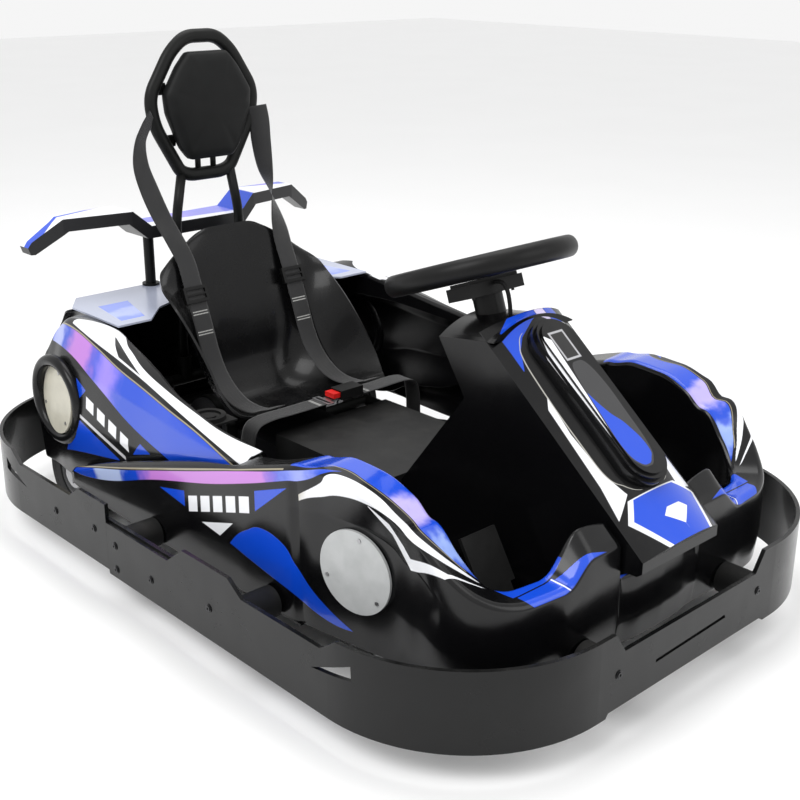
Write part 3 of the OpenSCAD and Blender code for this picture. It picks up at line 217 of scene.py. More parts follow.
def wear(tree: Nodes, place: bpy.types.NodeSocket) -> bpy.types.Node:
    """Returns: the wear group, fed with a place."""
    node = tree.add("Group", node_tree=WEAR)
    tree.feed(node.inputs[0], place)
    return node


@dataclass(frozen=True)
class Moulded:
    """Moulded or coated plastic and painted metal: a colour, a fine grain, smudges and dust."""

    name: str
    colour: Colour
    roughness: float = 0.35
    grain: float = 900.0
    depth: float = 0.00012
    coat: float = 0.0
    dust: float = 0.25
    metallic: float = 0.0
    waviness: float = 0.0
    shine: float = 0.2

    def build(self) -> bpy.types.Material:
        """Returns: the material."""
        made, tree, shader, place = material(self.name)
        marks = wear(tree, place)
        tint = tree.mix(tree.ramp(tree.noise(place, 30.0, 4.0), 0.3, 0.7, 0.0, 0.35), self.colour,
                        tuple(min(1.0, c * 1.5 + 0.002) for c in self.colour))
        dusty = tree.mix(tree.maths("MULTIPLY", marks.outputs["Dust"], self.dust * 0.22), tint, DUST)
        tree.feed(shader.inputs["Base Color"], dusty)
        smudged = tree.maths("MULTIPLY", marks.outputs["Smudge"], 0.10)
        rough = tree.maths("ADD", smudged, self.roughness - 0.04)
        tree.feed(shader.inputs["Roughness"], tree.maths("ADD", rough, tree.maths(
            "MULTIPLY", marks.outputs["Dust"], 0.3 * self.dust)))
        fine = tree.bump(tree.noise(place, self.grain, 2.0), 0.25, self.depth)
        fine = tree.bump(marks.outputs["Scratch"], 0.12, 0.00005, fine)
        if self.waviness:
            fine = tree.bump(tree.noise(place, 11.0, 1.0), self.waviness, 0.004, fine)
        tree.feed(shader.inputs["Normal"], fine)
        shader.inputs["Metallic"].default_value = self.metallic
        shader.inputs["Specular IOR Level"].default_value = self.shine
        shader.inputs["Coat Weight"].default_value = self.coat
        shader.inputs["Coat Roughness"].default_value = 0.06
        return made


@dataclass(frozen=True)
class Metal:
    """Bare or plated metal with brush lines and grime."""

    name: str
    colour: Colour
    roughness: float = 0.3
    brush: tuple[float, float, float] = (1.0, 1.0, 30.0)

    def build(self) -> bpy.types.Material:
        """Returns: the material."""
        made, tree, shader, place = material(self.name)
        marks = wear(tree, place)
        lines = tree.noise(tree.stretched(place, self.brush), 60.0, 4.0)
        grimy = tree.maths("MULTIPLY", marks.outputs["Smudge"], 0.45)
        dark = tuple(c * 0.45 for c in self.colour)
        tree.feed(shader.inputs["Base Color"], tree.mix(grimy, self.colour, dark))
        smooth, rough = self.roughness - 0.08, self.roughness + 0.14
        tree.feed(shader.inputs["Roughness"], tree.ramp(lines, 0.2, 0.8, smooth, rough))
        tree.feed(shader.inputs["Normal"], tree.bump(lines, 0.2, 0.0001))
        shader.inputs["Metallic"].default_value = 1.0
        return made


@dataclass(frozen=True)
class Tyre:
    """Rubber with a sawtooth of tread blocks round the tyre and a dusty, rough face."""

    name: str
    centre: tuple[float, float, float]

    def build(self) -> bpy.types.Material:
        """Returns: the material."""
        made, tree, shader, place = material(self.name)
        marks = wear(tree, place)
        moved = tree.add("Mapping")
        tree.feed(moved.inputs["Vector"], place)
        moved.inputs["Location"].default_value = tuple(-c for c in self.centre)
        parts = tree.add("SeparateXYZ")
        tree.feed(parts.inputs[0], moved.outputs[0])
        x, y, z = parts.outputs
        turn = tree.maths("MULTIPLY", tree.maths("ARCTAN2", z, x), 44 / (2 * math.pi))
        skew = tree.maths("ADD", turn, tree.maths("MULTIPLY", tree.maths("ABSOLUTE", y), 30.0))
        block = tree.ramp(tree.maths("PINGPONG", skew, 0.5), 0.06, 0.12)
        far = tree.maths("SQRT", tree.maths("ADD", tree.maths("POWER", x, 2.0), tree.maths("POWER", z, 2.0)))
        tread = tree.ramp(far, 0.078, 0.08)
        height = tree.maths("MULTIPLY", block, tread)
        tree.feed(shader.inputs["Base Color"], tree.mix(
            tree.maths("MULTIPLY", marks.outputs["Dust"], 0.3), (0.012, 0.012, 0.012), (0.12, 0.115, 0.1)))
        shader.inputs["Roughness"].default_value = 0.72
        fine = tree.bump(tree.noise(place, 700.0, 2.0), 0.3, 0.0002)
        tree.feed(shader.inputs["Normal"], tree.bump(height, 0.9, 0.002, fine))
        return made


@dataclass(frozen=True)
class Sheen:
    """A painted reflection on a band of film: a soft patch of another colour, between two distances."""

    start: float
    end: float
    colour: Colour
    soft: float = 40.0
    share: float = 1.0


@dataclass(frozen=True)
class Band:
    """A patch of film between two curves of a chart, as points in millimetres."""

    colour: Colour
    low: Points
    high: Points
    sheens: tuple[Sheen, ...] = ()
    round: bool = True
    edge: float = 1.2


def stripe(colour: Colour, line: Points, width: float, **more: object) -> Band:
    """Returns: a band of that width below a line."""
    return Band(colour, tuple((p, q - width) for p, q in line), line, **more)


@dataclass(frozen=True)
class Film:
    """Glossy printed film over moulded plastic, as bands laid one over another.

    A band's two edges are curves of height over distance. Its mask is 1 where the second length of the chart
    lies between the two heights and the first lies between the band's ends, with a soft edge of about a
    millimetre.
    """

    name: str
    base: Colour
    chart: Chart
    bands: tuple[Band, ...]
    side: int = 0
    slope: tuple[float, float, float] = (415.0, 566.0, 39.17)
    roughness: float = 0.16
    upward: float | None = None

    def lengths(self, tree: Nodes, place: bpy.types.NodeSocket
                ) -> tuple[bpy.types.NodeSocket, bpy.types.NodeSocket]:
        """Returns: the chart's two lengths in millimetres."""
        parts = tree.add("SeparateXYZ")
        tree.feed(parts.inputs[0], tree.stretched(place, (1 / MM, 1 / MM, 1 / MM)))
        x, y, z = parts.outputs
        if self.chart is Chart.WING_SIDE:
            return x, tree.maths("SUBTRACT", z, tree.maths("ABSOLUTE", y))
        if self.chart is Chart.PLAN:
            return x, tree.maths("ABSOLUTE", y)
        if self.chart is Chart.ACROSS:
            return y, x
        x0, z0, angle = self.slope
        c, s = math.cos(math.radians(angle)), math.sin(math.radians(angle))
        along = tree.maths("SUBTRACT", tree.maths("MULTIPLY", tree.maths("SUBTRACT", x, x0), c),
                           tree.maths("MULTIPLY", tree.maths("SUBTRACT", z, z0), s))
        return along, y

    def curve(self, tree: Nodes, place: object, points: Points, smooth: bool,
              span: tuple[float, float, float, float]) -> bpy.types.NodeSocket:
        """Returns: a curve's height at a distance, as a share of the span's height."""
        p0, p1, q0, q1 = span
        node = tree.add("FloatCurve")
        line = node.mapping.curves[0]
        wanted = [((p - p0) / (p1 - p0), (q - q0) / (q1 - q0)) for p, q in points]
        while len(line.points) < len(wanted):
            line.points.new(0.5, 0.5)
        for point, (a, b) in zip(line.points, wanted):
            point.location = (a, b)
            point.handle_type = "AUTO" if smooth else "VECTOR"
        node.mapping.update()
        tree.feed(node.inputs["Value"], place)
        return node.outputs[0]

    def mask(self, tree: Nodes, band: Band, p: object, q: object) -> bpy.types.NodeSocket:
        """Returns: how much of a band covers the place, from 0 to 1."""
        ps = [a for a, _ in band.low + band.high]
        qs = [b for _, b in band.low + band.high]
        span = (min(ps), max(ps), min(qs) - 1.0, max(qs) + 1.0)
        share = tree.ramp(p, span[0], span[1])
        height = tree.add("MapRange", clamp=False)
        for socket, number in zip(height.inputs, (q, span[2], span[3], 0.0, 1.0)):
            tree.feed(socket, number)
        level, soft = height.outputs[0], band.edge / (span[3] - span[2])
        above = tree.maths("SUBTRACT", level, self.curve(tree, share, band.low, band.round, span))
        below = tree.maths("SUBTRACT", self.curve(tree, share, band.high, band.round, span), level)
        ends = tree.maths("MINIMUM", tree.maths("SUBTRACT", p, span[0]), tree.maths("SUBTRACT", span[1], p))
        inside = tree.maths("MULTIPLY", tree.ramp(above, 0.0, soft), tree.ramp(below, 0.0, soft))
        return tree.maths("MULTIPLY", inside, tree.ramp(ends, 0.0, band.edge))

    def outside(self, tree: Nodes, place: bpy.types.NodeSocket) -> bpy.types.NodeSocket:
        """Returns: 1 on the faces that carry film, which look up or outwards, and 0 on the rest."""
        normal, spot = tree.add("SeparateXYZ"), tree.add("SeparateXYZ")
        tree.feed(normal.inputs[0], tree.add("NewGeometry").outputs["Normal"])
        tree.feed(spot.inputs[0], place)
        if self.upward is not None:
            return tree.ramp(normal.outputs[2], self.upward, self.upward + 0.04)
        outward = tree.maths("MULTIPLY", normal.outputs[1], tree.maths("SIGN", spot.outputs[1]))
        side = tree.ramp(tree.maths("MULTIPLY_ADD", normal.outputs[2], 1.2, outward), 0.08, 0.16)
        front = tree.maths("MULTIPLY_ADD", normal.outputs[2], -1.2, normal.outputs[0])
        return tree.maths("MULTIPLY", side, tree.ramp(front, 0.45, 0.55, 1.0, 0.0))

    def build(self) -> bpy.types.Material:
        """Returns: the material."""
        made, tree, shader, place = material(self.name)
        marks = wear(tree, place)
        p, q = self.lengths(tree, place)
        wavy = tree.maths("MULTIPLY_ADD", tree.noise(place, 22.0, 3.0), 70.0, -35.0)
        shown = self.outside(tree, place)
        colour, covered = self.base, 0.0
        for band in self.bands:
            film = band.colour
            # Each sheen is a painted reflection, mixed into the band's colour between two distances, its edges
            # made wavy by noise.
            for sheen in band.sheens:
                near = tree.maths("ADD", p, wavy)
                rise = tree.ramp(near, sheen.start, sheen.start + sheen.soft, 0.0, sheen.share, "SMOOTHSTEP")
                fall = tree.ramp(near, sheen.end - sheen.soft, sheen.end, 1.0, 0.0, "SMOOTHSTEP")
                film = tree.mix(tree.maths("MULTIPLY", rise, fall), film, sheen.colour)
            mask = tree.maths("MULTIPLY", self.mask(tree, band, p, q), shown)
            colour = tree.mix(mask, colour, film)
            covered = tree.maths("MAXIMUM", covered, mask)
        tree.feed(shader.inputs["Base Color"], tree.mix(
            tree.maths("MULTIPLY", marks.outputs["Dust"], 0.05), colour, DUST))
        rough = tree.maths("MULTIPLY_ADD", marks.outputs["Smudge"], 0.08, self.roughness)
        tree.feed(shader.inputs["Roughness"], rough)
        shader.inputs["Specular IOR Level"].default_value = 0.35
        tree.feed(shader.inputs["Coat Weight"], tree.maths("MULTIPLY", covered, 0.45))
        shader.inputs["Coat Roughness"].default_value = 0.05
        peel = tree.bump(tree.noise(place, 260.0, 2.0), 0.08, 0.0003)
        step = tree.bump(covered, 0.35, 0.0003, peel)
        tree.feed(shader.inputs["Normal"], tree.bump(marks.outputs["Scratch"], 0.06, 0.00004, step))
        return made


@dataclass(frozen=True)
class Webbing:
    """Woven strap, by its own UV in metres: twill ribs across, selvedges and lines of pale stitching."""

    name: str
    width: float
    stitches: tuple[float, ...] = ()
    colour: Colour = (0.005, 0.005, 0.0055)
    worn: Colour = (0.03, 0.029, 0.027)
    thread: Colour = (0.5, 0.5, 0.48)

    def build(self) -> bpy.types.Material:
        """Returns: the material."""
        made, tree, shader, place = material(self.name)
        uv = tree.add("TexCoord").outputs["UV"]
        parts = tree.add("SeparateXYZ")
        tree.feed(parts.inputs[0], uv)
        across, along = parts.outputs[0], parts.outputs[1]
        ribs = tree.maths("SINE", tree.maths("MULTIPLY", across, 2 * math.pi / 0.0016))
        twill = tree.maths("SINE", tree.maths("MULTIPLY", tree.maths("ADD", along, tree.maths(
            "PINGPONG", across, self.width / 10)), 2 * math.pi / 0.0019))
        weave = tree.maths("MULTIPLY_ADD", tree.maths("MULTIPLY", ribs, twill), 0.5, 0.5)
        side = tree.maths("ABSOLUTE", tree.maths("SUBTRACT", across, self.width / 2))
        selvedge = tree.ramp(side, self.width / 2 - 0.0022, self.width / 2 - 0.0015)
        worn = tree.ramp(tree.noise(place, 18.0, 4.0), 0.45, 0.8, 0.0, 0.35)
        pale = tuple(2.6 * c for c in self.colour)
        colour = tree.mix(tree.maths("MULTIPLY", weave, 0.6), self.colour, pale)
        colour = tree.mix(worn, colour, self.worn)
        for stitch in self.stitches:
            off = tree.maths("ABSOLUTE", tree.maths("SUBTRACT", along, stitch))
            near = tree.ramp(off, 0.0008, 0.0014, 1.0, 0.0)
            dash = tree.ramp(tree.maths("PINGPONG", across, 0.0019), 0.0003, 0.0006)
            inner = tree.ramp(side, self.width / 2 - 0.0035, self.width / 2 - 0.003, 1.0, 0.0)
            shown = tree.maths("MULTIPLY", tree.maths("MULTIPLY", near, dash), inner)
            colour = tree.mix(shown, colour, self.thread)
        tree.feed(shader.inputs["Base Color"], colour)
        shader.inputs["Roughness"].default_value = 0.62
        shader.inputs["Sheen Weight"].default_value = 0.25
        shader.inputs["Sheen Roughness"].default_value = 0.4
        height = tree.maths("ADD", weave, tree.maths("MULTIPLY", selvedge, 0.8))
        tree.feed(shader.inputs["Normal"], tree.bump(height, 0.55, 0.0004))
        return made


@dataclass(frozen=True)
class Floor:
    """Pale, plain, slightly mottled studio floor."""

    name: str = "studio_floor"

    def build(self) -> bpy.types.Material:
        """Returns: the material."""
        made, tree, shader, place = material(self.name)
        tree.feed(shader.inputs["Base Color"], tree.mix(
            tree.noise(place, 1.5, 3.0), (0.90, 0.90, 0.90), (0.93, 0.93, 0.93)))
        shader.inputs["Roughness"].default_value = 0.6
        return made


def grid_mesh(name: str, points: np.ndarray, uv: np.ndarray | None = None, closed: bool = False,
              caps: bool = False) -> bpy.types.Object:
    """Makes a mesh of four-sided faces from a grid of points.

    Args:
        name: the object's name.
        points: rows of points in metres, of shape (rows, columns, 3).
        uv: two lengths for each point, of shape (rows, columns, 2).
        closed: whether the last column joins the first.
        caps: whether the first and last rows are each filled with a face.
    Returns:
        The object, smooth shaded, with its place in its mesh.
    """
    rows, columns = points.shape[:2]
    i, j = np.meshgrid(np.arange(rows - 1), np.arange(columns if closed else columns - 1), indexing="ij")
    k = (j + 1) % columns
    quads = np.stack([i * columns + j, i * columns + k, (i + 1) * columns + k, (i + 1) * columns + j], -1)
    faces = quads.reshape(-1, 4).tolist()
    if caps:
        faces += [list(range(columns))[::-1], list(range((rows - 1) * columns, rows * columns))]
    mesh = bpy.data.meshes.new(name)
    mesh.from_pydata(points.reshape(-1, 3).tolist(), [], faces)
    mesh.update()
    mesh.shade_smooth()
    if uv is not None:
        layer = mesh.uv_layers.new(name="lengths")
        corners = np.zeros(len(mesh.loops), np.int32)
        mesh.loops.foreach_get("vertex_index", corners)
        layer.data.foreach_set("uv", uv.reshape(-1, 2)[corners].astype(np.float32).ravel())
    made = bpy.data.objects.new(name, mesh)
    bpy.context.scene.collection.objects.link(made)
    return made


def smooth_path(points: np.ndarray, count: int) -> np.ndarray:
    """Returns: count points evenly spaced along a Catmull-Rom curve through the points, any columns kept."""
    p = np.vstack([2 * points[0] - points[1], points, 2 * points[-1] - points[-2]])
    t = np.linspace(0, 1, 24, endpoint=False)[:, None]
    parts = [0.5 * (2 * b + (c - a) * t + (2 * a - 5 * b + 4 * c - d) * t ** 2
                    + (3 * b - a - 3 * c + d) * t ** 3)
             for a, b, c, d in zip(p[:-3], p[1:-2], p[2:-1], p[3:])]
    line = np.vstack([*parts, points[-1:]])
    run = np.concatenate([[0.0], np.cumsum(np.linalg.norm(np.diff(line[:, :3], axis=0), axis=1))])
    wanted = np.linspace(0, run[-1], count)
    return np.column_stack([np.interp(wanted, run, line[:, k]) for k in range(line.shape[1])])


@dataclass(frozen=True)
class Ribbon:
    """A flat strap swept along a path, with its own thickness, rounded edges and a slight ripple.

    Each point of the path is x, y, z and the strap's turn about its own run in degrees. The strap's width
    lies along Y where the turn is 0. A column runs round the section: across the top face and back underneath.
    """

    name: str
    path: tuple[tuple[float, float, float, float], ...]
    width: float = 46.0
    thick: float = 1.5
    rows: int = 260
    columns: int = 12
    sag: float = 0.7

    def build(self) -> bpy.types.Object:
        """Returns: the strap's mesh, with UV lengths in metres across and along."""
        line = smooth_path(np.array(self.path, float), self.rows)
        centre, turn = line[:, :3], np.radians(line[:, 3])
        run = np.gradient(centre, axis=0)
        run /= np.linalg.norm(run, axis=1)[:, None]
        flat = np.array([0.0, 1.0, 0.0]) - run * run[:, 1:2]
        flat /= np.linalg.norm(flat, axis=1)[:, None]
        up = np.cross(run, flat)
        side = flat * np.cos(turn)[:, None] + up * np.sin(turn)[:, None]
        face = np.cross(run, side)
        along = np.linspace(0, 1, self.rows) * np.linalg.norm(np.diff(centre, axis=0), axis=1).sum()
        share = np.linspace(-1, 1, self.columns)
        bow = self.sag * np.sin(along / 37.0)[:, None] * (1 - share ** 2)[None]
        edge = (1 - 0.55 * np.abs(share) ** 10)[None] * self.thick / 2
        across = share[None] * self.width / 2
        top = centre[:, None] + side[:, None] * across[..., None] + face[:, None] * (bow + edge)[..., None]
        low = centre[:, None] + side[:, None] * across[..., None] + face[:, None] * (bow - edge)[..., None]
        points = np.concatenate([top, low[:, ::-1]], 1) * MM
        width = (share + 1) / 2 * self.width
        u = np.broadcast_to(np.concatenate([width, width[::-1]]), points.shape[:2])
        v = np.broadcast_to(along[:, None], points.shape[:2])
        return grid_mesh(self.name, points, np.stack([u, v], -1) * MM, closed=True, caps=True)


def rounded(corners: np.ndarray, radius: float, steps: int = 5) -> np.ndarray:
    """Rounds the corners of closed outlines.

    Each corner becomes a parabola that starts and ends on its two sides, the radius away from it or 0.45 of
    the shorter side if that is less.

    Args:
        corners: outlines of shape (rows, corners, 3).
        radius: the distance from a corner to the ends of its curve.
        steps: points on each curve.
    Returns:
        The outlines, of shape (rows, corners * steps, 3).
    """
    ahead, behind = np.roll(corners, -1, 1) - corners, np.roll(corners, 1, 1) - corners
    far, near = (np.maximum(np.linalg.norm(side, axis=2, keepdims=True), 1e-6) for side in (ahead, behind))
    cut = np.minimum(radius, 0.45 * np.minimum(far, near))
    start, end = corners + behind / near * cut, corners + ahead / far * cut
    t = np.linspace(0, 1, steps)[None, None, :, None]
    curve = ((1 - t) ** 2 * start[:, :, None] + 2 * t * (1 - t) * corners[:, :, None]
             + t ** 2 * end[:, :, None])
    return curve.reshape(len(corners), -1, 3)


def blended(rows: np.ndarray, pace: float) -> np.ndarray:
    """Fills in rows between given ones with a curve that never overshoots.

    Each column is a cubic over the distance along the rows' first two columns. Its slope at a row is the
    harmonic mean of the slopes on both sides, or 0 where they point opposite ways.

    Args:
        rows: given rows, whose first two columns are a place in the plane.
        pace: distance between the filled rows.
    Returns:
        The filled rows, with the given ones among them.
    """
    run = np.maximum(np.linalg.norm(np.diff(rows[:, :2], axis=0), axis=1), 0.5)
    slope = np.diff(rows, axis=0) / run[:, None]
    before, after = slope[:-1], slope[1:]
    same = before * after > 0
    inner = np.where(same, 2 * before * after / np.where(same, before + after, 1.0), 0.0)
    tangent = np.vstack([slope[:1], inner, slope[-1:]])
    filled = []
    for k, length in enumerate(run):
        t = np.linspace(0, 1, max(2, math.ceil(length / pace)), endpoint=False)[:, None]
        leaving, arriving = t ** 3 - 2 * t ** 2 + t, t ** 3 - t ** 2
        filled.append((2 * t ** 3 - 3 * t ** 2 + 1) * rows[k] + (3 * t ** 2 - 2 * t ** 3) * rows[k + 1]
                      + length * (leaving * tangent[k] + arriving * tangent[k + 1]))
    return np.vstack([*filled, rows[-1:]])


def even_light(made: bpy.types.Object) -> bpy.types.Object:
    """Returns: the object with normals weighted by area, so flat faces stay flat beside rounded corners."""
    weight = made.modifiers.new("even light", "WEIGHTED_NORMAL")
    weight.weight = 80
    return made


@dataclass(frozen=True)
class Bodywork:
    """A moulded shell that runs round the kart as a U, lofted through stations of its wall.

    A station is x, y, turn, top inset, inner inset, bottom, outer top, inner top, inner bottom and side
    inset. The stations of one side are filled in smoothly, and the other side is their mirror image.
    """

    name: str
    stations: tuple[tuple[float, ...], ...]
    wall: float = 4.0
    radius: float = 5.0
    pace: float = 9.0

    def build(self) -> bpy.types.Object:
        """Returns: the shell's mesh."""
        given = np.array([(*s, *(0.0,) * (10 - len(s))) for s in self.stations])
        rows = blended(given, self.pace)
        x, y, turn, a, w, low, top, inner, under, b = rows.T
        side = np.where(b > 0, b, 0.35 * a)
        t, h = self.wall, top - low
        inset = np.stack([b + 6, b, side, a, a + 8, w - 8, w, w, w - t, w - t, w - 10, a + 10, a + t,
                          side + t, b + t, b + 6 + t], 1)
        height = np.stack([low, low + 0.35 * h, low + 0.73 * h, top - 8, top, inner, inner - 8, under, under,
                           inner - 11, inner - t, top - t, top - 11, low + 0.71 * h, low + 0.35 * h, low], 1)
        sine, cosine = np.sin(np.radians(turn))[:, None], np.cos(np.radians(turn))[:, None]
        right = np.stack([x[:, None] - inset * sine, inset * cosine - y[:, None], height], -1)
        left = right[-2::-1] * [1, -1, 1]
        points = rounded(np.concatenate([right, left]), self.radius)
        return even_light(grid_mesh(self.name, points * MM, closed=True, caps=True))


@dataclass(frozen=True)
class Bucket:
    """The seat: rows from the front lip to the top of the back, dished across, with a rolled edge.

    A row is middle x, middle z, edge x, edge z and its share of the half width.
    """

    name: str
    rows: tuple[tuple[float, ...], ...]
    half: float = 215.0
    wall: float = 5.0
    columns: int = 73
    count: int = 140

    def build(self) -> bpy.types.Object:
        """Returns: the seat's mesh.

        The height across a row rises as the square of the distance past three tenths of the half width. The
        back face is the front face moved by the wall along its normal.
        """
        rows = smooth_path(np.array(self.rows) * [1, 1, 1, 1, 100], self.count)
        across = np.linspace(-1, 1, self.columns)
        dish = np.where(np.abs(across) < 0.3, 0.0, ((np.abs(across) - 0.3) / 0.7) ** 2)
        mx, mz, ex, ez, share = (rows[:, k:k + 1] for k in range(5))
        front = np.stack([mx + (ex - mx) * dish, across * share / 100 * self.half, mz + (ez - mz) * dish], -1)
        normal = np.cross(np.gradient(front, axis=0), np.gradient(front, axis=1))
        normal /= np.linalg.norm(normal, axis=2)[..., None]
        section = np.concatenate([front, (front + self.wall * normal)[:, ::-1]], 1)
        made = grid_mesh(self.name, section * MM, closed=True, caps=True)
        edge = made.modifiers.new("rolled edge", "BEVEL")
        edge.width, edge.segments, edge.limit_method, edge.angle_limit = 0.0016, 2, "ANGLE", math.radians(50)
        return even_light(made)


@dataclass(frozen=True)
class Tube:
    """A round or oval tube swept along a path in an upright plane across the kart."""

    name: str
    x: float
    path: Points
    deep: float
    wide: float
    bend: float = 30.0
    closed: bool = False
    sides: int = 28

    def build(self) -> bpy.types.Object:
        """Returns: the tube's mesh, its corners bent to a parabola."""
        corners = np.array([(self.x, y, z) for y, z in self.path])[None]
        line = rounded(corners, self.bend, 13)[0]
        if not self.closed:
            line = np.vstack([corners[0, :1], line[13:-13], corners[0, -1:]])
        ahead, behind = np.roll(line, -1, 0), np.roll(line, 1, 0)
        if not self.closed:
            ahead[-1], behind[0] = line[-1], line[0]
        run = ahead - behind
        run /= np.linalg.norm(run, axis=1)[:, None]
        side = np.cross(run, [1.0, 0.0, 0.0])
        turn = np.linspace(0, 2 * math.pi, self.sides, endpoint=False)
        points = (line[:, None] + side[:, None] * (np.cos(turn) * self.wide / 2)[None, :, None]
                  + np.array([1.0, 0.0, 0.0]) * (np.sin(turn) * self.deep / 2)[None, :, None])
        if self.closed:
            points = np.concatenate([points, points[:1]])
        return grid_mesh(self.name, points * MM, closed=True, caps=not self.closed)


@dataclass(frozen=True)
class Ring:
    """A ring with an oval section: centre, axis, radius, and the section's size across and along the axis."""

    name: str
    centre: tuple[float, float, float]
    axis: tuple[float, float, float]
    radius: float
    wide: float
    deep: float
    around: int = 120
    sides: int = 24

    def build(self) -> bpy.types.Object:
        """Returns: the ring's mesh."""
        axis = np.array(self.axis) / np.linalg.norm(self.axis)
        first = np.cross(axis, [0.0, 1.0, 0.0] if abs(axis[1]) < 0.5 else [1.0, 0.0, 0.0])
        first /= np.linalg.norm(first)
        second = np.cross(axis, first)
        turn = np.linspace(0, 2 * math.pi, self.around)[:, None]
        spin = np.linspace(0, 2 * math.pi, self.sides, endpoint=False)
        out = np.cos(turn) * first + np.sin(turn) * second
        reach = self.radius + np.cos(spin) * self.wide / 2
        points = (np.array(self.centre) + out[:, None] * reach[None, :, None]
                  + axis * (np.sin(spin) * self.deep / 2)[None, :, None])
        return grid_mesh(self.name, points * MM, closed=True)


@dataclass(frozen=True)
class Pad:
    """Foam headrest pad: a coffin outline with a bevelled edge, settled by a short cloth simulation."""

    name: str = "headrest_cushion"
    outline: Points = ((50, 986), (77, 956), (112, 900), (108, 858), (77, 781), (56, 755))
    back: float = -555.7
    front: float = -519.7
    around: int = 96

    def build(self) -> bpy.types.Object:
        """Returns: the pad's mesh.

        The outline, closed by its mirror image, is walked at even steps. Ring by ring it grows from the
        middle of the back to the edge, comes forward, and shrinks to the middle of the front.
        """
        half = np.array(self.outline, float)
        ring = np.vstack([half, half[::-1] * [-1, 1]])
        lengths = np.linalg.norm(np.diff(np.vstack([ring, ring[:1]]), axis=0), axis=1)
        run = np.concatenate([[0], np.cumsum(lengths)])
        steps = np.linspace(0, run[-1], self.around, endpoint=False)
        loop = np.column_stack([np.interp(steps, run, np.append(ring[:, k], ring[0, k])) for k in (0, 1)])
        loop = (np.roll(loop, 1, 0) + 4 * loop + np.roll(loop, -1, 0)) / 6
        middle = loop.mean(0)
        deep = self.front - self.back
        rows = [(0.02, 0.06), (0.55, 0.04), (0.93, 0.02), (0.985, 0.08), (1.0, 0.25), (1.0, 0.55),
                (0.99, 0.70), (0.95, 0.82), (0.88, 0.93), (0.84, 0.975), (0.80, 0.99), (0.6, 1.0), (0.3, 1.0),
                (0.02, 1.0)]
        size, forward = np.array(rows).T[..., None, None]
        flat = middle + (loop - middle) * size
        points = np.concatenate([np.broadcast_to(self.back + deep * forward, (*flat.shape[:2], 1)), flat], -1)
        made = grid_mesh(self.name, points * MM, closed=True, caps=True)
        made.data.flip_normals()
        return made

    def settle(self, pad: bpy.types.Object) -> None:
        """Presses the pad's skin out a little by a cloth simulation with its back held, then applies it."""
        height = np.array([v.co.x for v in pad.data.vertices])
        limit = (self.back + 0.6 * (self.front - self.back)) * MM
        held = pad.vertex_groups.new(name="held")
        held.add(np.flatnonzero(height < limit).tolist(), 1.0, "REPLACE")
        cloth = pad.modifiers.new("skin", "CLOTH")
        setting = cloth.settings
        setting.quality, setting.mass = 8, 0.3
        setting.tension_stiffness = setting.compression_stiffness = 60.0
        setting.bending_stiffness = 4.0
        setting.use_pressure, setting.uniform_pressure_force = True, 3.0
        setting.vertex_group_mass = "held"
        setting.effector_weights.gravity = 0.0
        scene = bpy.context.scene
        scene.frame_start, scene.frame_end = 1, 16
        cloth.point_cache.frame_start, cloth.point_cache.frame_end = 1, 16
        for step in range(1, 17):
            scene.frame_set(step)
        graph = bpy.context.evaluated_depsgraph_get()
        settled = bpy.data.meshes.new_from_object(pad.evaluated_get(graph))
        pad.modifiers.clear()
        pad.data = settled
        pad.vertex_groups.clear()
        scene.frame_set(1)


@dataclass
class Kart:
    """What every sub-assembly shares: the CAD nodes and the materials, each by name."""

    nodes: dict[str, bpy.types.Object]
    finishes: dict[str, bpy.types.Material]

    def dress(self, finish: str, slot: str, *names: str) -> None:
        """Gives CAD nodes a finish and a material slot."""
        for name in names:
            node = self.nodes[name]
            node.data.materials.clear()
            node.data.materials.append(self.finishes[finish])
        LOG.info("%s on %s", finish, ", ".join(names))

    def piece(self, made: bpy.types.Object, body: str, slot: str, finish: str | bpy.types.Material,
              *stands_for: str) -> None:
        """Adds a new piece to a body, in place of the CAD nodes it stands for.

        Args:
            made: the piece.
            body: the body that carries it.
            slot: its material slot, not used.
            finish: its material, or the name of one of the finishes.
            stands_for: the CAD nodes that it replaces.
        """
        made.data.materials.append(self.finishes[finish] if isinstance(finish, str) else finish)
        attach(made, body)
        if stands_for:
            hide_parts(*stands_for)
        LOG.info("%s on %s, %d faces", made.name, body, len(made.data.polygons))


@dataclass
class Chassis(Kart):
    """The welded frame, floor, electrics and drive."""

    def dress_all(self) -> None:
        """Dresses the frame and what it carries."""
        self.dress("frame_black", "frame_black", "chassis_frame", "wing_posts", "pivot_pins", "gearbox_case")
        self.dress("tub_black", "tub_black", "floor_pan", "wheel_liners")
        self.dress("motor_black", "motor_black", "drive_motor", "battery_pack", "motor_controller",
                   "brake_caliper")
        self.dress("cover_grey", "cover_grey", "battery_cover")
        self.dress("steel", "steel", "rear_axle", "axle_gear", "brake_disc", "motor_pinion", "axle_bearings",
                   "steering_shaft", "tie_rod_left", "tie_rod_right", "knuckle_left", "knuckle_right",
                   "lens_screws")
        self.dress("alloy", "alloy", "front_wheel_left", "front_wheel_right", "rear_wheels")
        self.dress("front_tyre", "tyre_black", "front_tyre_left", "front_tyre_right")
        self.dress("rear_tyre", "tyre_black", "rear_tyres")
        self.dress("pedal_black", "pedal_black", "accelerator_pedal", "brake_pedal")
        self.dress("rubber_black", "rubber_black", "bumper_buffers", "charge_socket", "steering_cable")


